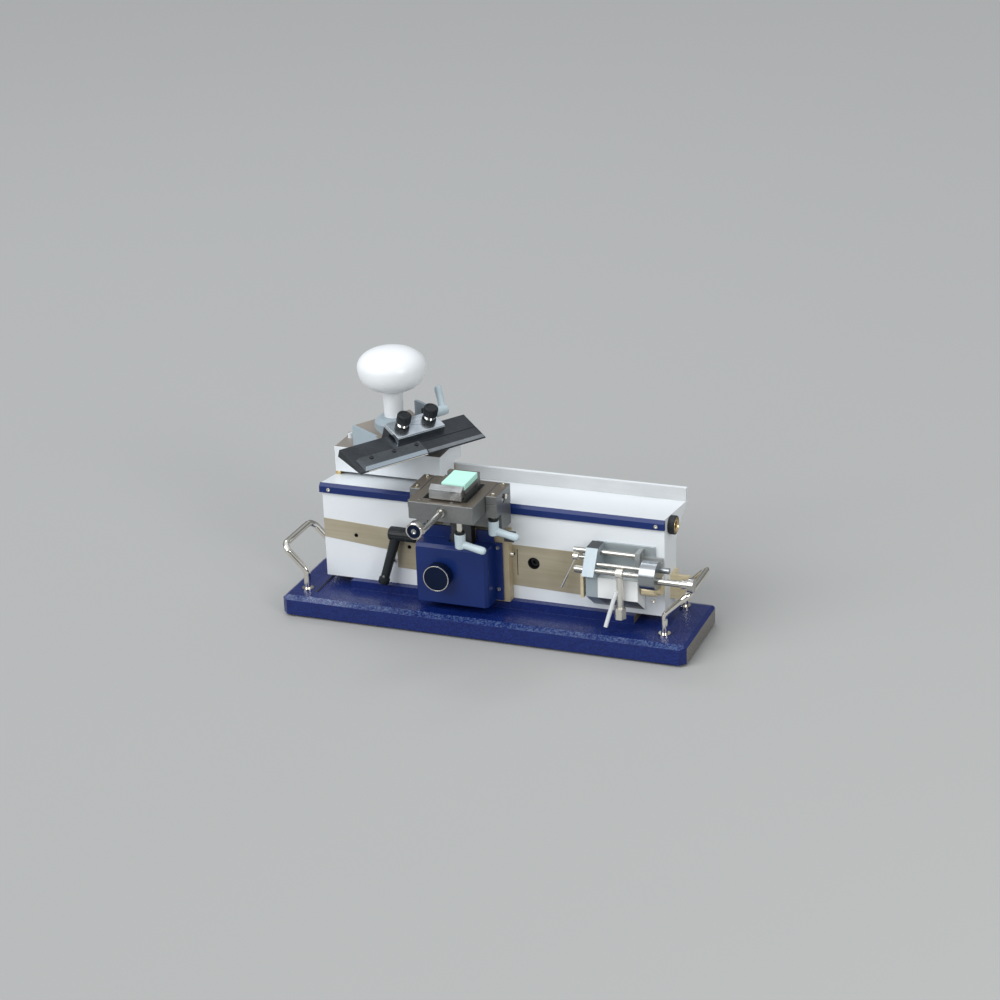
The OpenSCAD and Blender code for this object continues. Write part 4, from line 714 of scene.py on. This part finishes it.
dress("blade_clamp", clamp_steel, 0.2)
dress("blade", chrome, 0.05)
ground_land = ground_metal("ground_edge_land", (0.17, 0.185, 0.20), (0.30, 0.32, 0.34), 0.26, (20, 500, 500),
                           turn=(0, 0, -knife_turn), metal=0.8, depth=0.004, streaks=0.4)
plate("knife_edge_land", knife_place, (97.5, 1.4, -0.3), (177.2, 7.0, 0.08), ground_land, "holder",
      0.03)
dress("blade_screws", blued_steel, 0.15)

# ---- Clamp bridge, studs and knurled knobs ----
# A polished chromed plate laid across the holder bar. Two bright studs rise through it, and
# fluted black plastic knobs on them hold it down.
blued_chrome = ground_metal("polished_bridge_chrome", (0.52, 0.58, 0.64), (0.74, 0.79, 0.84), 0.16, (40, 40, 40),
                            depth=0.004, blotches=40.0, streaks=0.2)
dress("clamp_bridge", blued_chrome, 0.8)
dress("bridge_studs", chrome, 0.2)
for side, along in (("left", 90.5), ("right", 128.8)):
    knob = turned(
        "bridge_knob_" + side + "_turned",
        [(0, 9.4, 0, 0), (5.0, 9.4, 0, 0), (5.0, 10.4, 0, 0), (7.4, 10.5, 0, 0), (8.3, 11.3, 0, 0),
         (8.6, 11.8, 0, 0.9), (8.6, 20.6, 0, 0.9), (8.0, 21.6, 0, 0), (6.9, 22.3, 0, 0), (5.6, 22.2, 0, 0),
         (5.2, 21.6, 0, 0),
         (0, 21.5, 0, 0)],
        knife_place @ Matrix.Translation(Vector((along, 50.8, 0)) / 1000), [black_plastic],
        "bridge_knob_" + side, flutes=24, steps=192)
    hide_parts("bridge_knob_" + side)

# ---- Locking lever of the knife's tilt ----
# The same pale gray moulded lever, lying on its side at the right cheek with its arm raised, on
# a stud through the cheek.
plan_place = Matrix.Translation(at(knife_across, knife_back, 0)) @ Matrix.Rotation(knife_turn, 4, "Z")
raised = math.radians(-38)
tilt_place = (plan_place @ Matrix.Translation(Vector((149.3, 68, 193)) / 1000)
              @ Matrix.Rotation(raised, 4, "X") @ Matrix.Rotation(-math.pi / 2, 4, "Y"))
locking_lever("knife_lever_hub", "knife_tilt_lever", tilt_place, 0, 9.3, "knife_lever")

# ---- Indexing unit ----
# Milled and turned aluminium blocks on a brushed steel back plate screwed to the bed. Polished
# steel rods join them, and nickelled levers swing on the rods.
shelf_height = 60
# The bracket's sloping underside is painted almost black: painted shade under the bracket.
bright_alloy = ground_metal("bright_alloy", (0.84, 0.86, 0.855), (0.90, 0.92, 0.91), 0.3, (200, 40, 600),
                            metal=0.1, streaks=0.25, side=((0, -0.608, -0.794), (0.06, 0.065, 0.07)))
# The bracket's upright above the shelf is painted darker gray: painted shade on the upright.
tree = bright_alloy.node_tree
upright_place = tree.nodes.new("ShaderNodeTexCoord")
upright_parts = tree.nodes.new("ShaderNodeSeparateXYZ")
upright_shade_step = tree.nodes.new("ShaderNodeMapRange")
upright_shade_step.inputs["From Min"].default_value = at(0, 0, shelf_height + 0.5).z
upright_shade_step.inputs["From Max"].default_value = at(0, 0, shelf_height + 1.0).z
tree.links.new(upright_place.outputs["Object"], upright_parts.inputs["Vector"])
tree.links.new(upright_parts.outputs["Z"], upright_shade_step.inputs["Value"])
alloy_colour = tree.nodes["Principled BSDF"].inputs["Base Color"]
between(tree, upright_shade_step.outputs["Result"], alloy_colour.links[0].from_socket, (0.30, 0.315, 0.315),
        alloy_colour)
turned_alloy = ground_metal("turned_alloy", (0.29, 0.315, 0.33), (0.48, 0.505, 0.52), 0.3, (20, 500, 500),
                            depth=0.01)
# Its upward faces are painted almost black: painted shade on the end plate's tops.
gray_alloy = ground_metal("matt_gray_alloy", (0.30, 0.355, 0.39), (0.39, 0.445, 0.48), 0.36, (300, 300, 40),
                          metal=0.3, streaks=0.3, side=((0, 0, 1), (0.03, 0.032, 0.036)))
brushed_plate = ground_metal("brushed_back_plate", (0.36, 0.41, 0.43), (0.46, 0.51, 0.53), 0.34, (14, 700, 700),
                             metal=0.5, streaks=0.35)
dress("index_plate", brushed_plate, 0.3)
dress("index_supports", cream_plate, 0.4)
dress("index_bracket", bright_alloy, 0.5)
dress("index_end_plate", gray_alloy, 0.5)
# The rods' strong dark and light lengthwise bands are painted reflections; the fine lines among them are
# grinding marks.
rod_steel_painted_reflections = ground_metal("polished_rod_steel", (0.22, 0.21, 0.19), (0.74, 0.73, 0.69), 0.2, (12, 700, 700),
                         depth=0.006, streaks=0.7)
dress("index_rods", rod_steel_painted_reflections, 0.3)
dress("index_drum", turned_alloy, 0.5)
satin_nickel = ground_metal("satin_nickel", (0.60, 0.585, 0.53), (0.84, 0.82, 0.76), 0.24, (40, 40, 500),
                            metal=0.7, depth=0.006, streaks=0.3)
white_nickel = ground_metal("white_nickel", (0.74, 0.77, 0.79), (0.88, 0.90, 0.91), 0.26, (40, 40, 500),
                            metal=0.35, depth=0.006, streaks=0.3)
dress("index_arm", satin_nickel, 0.3)
dress("index_lever", white_nickel, 0.3)
dress("drive_shaft", rod_steel_painted_reflections, 0.4)
dress("trip_lever", chrome, 0.2)
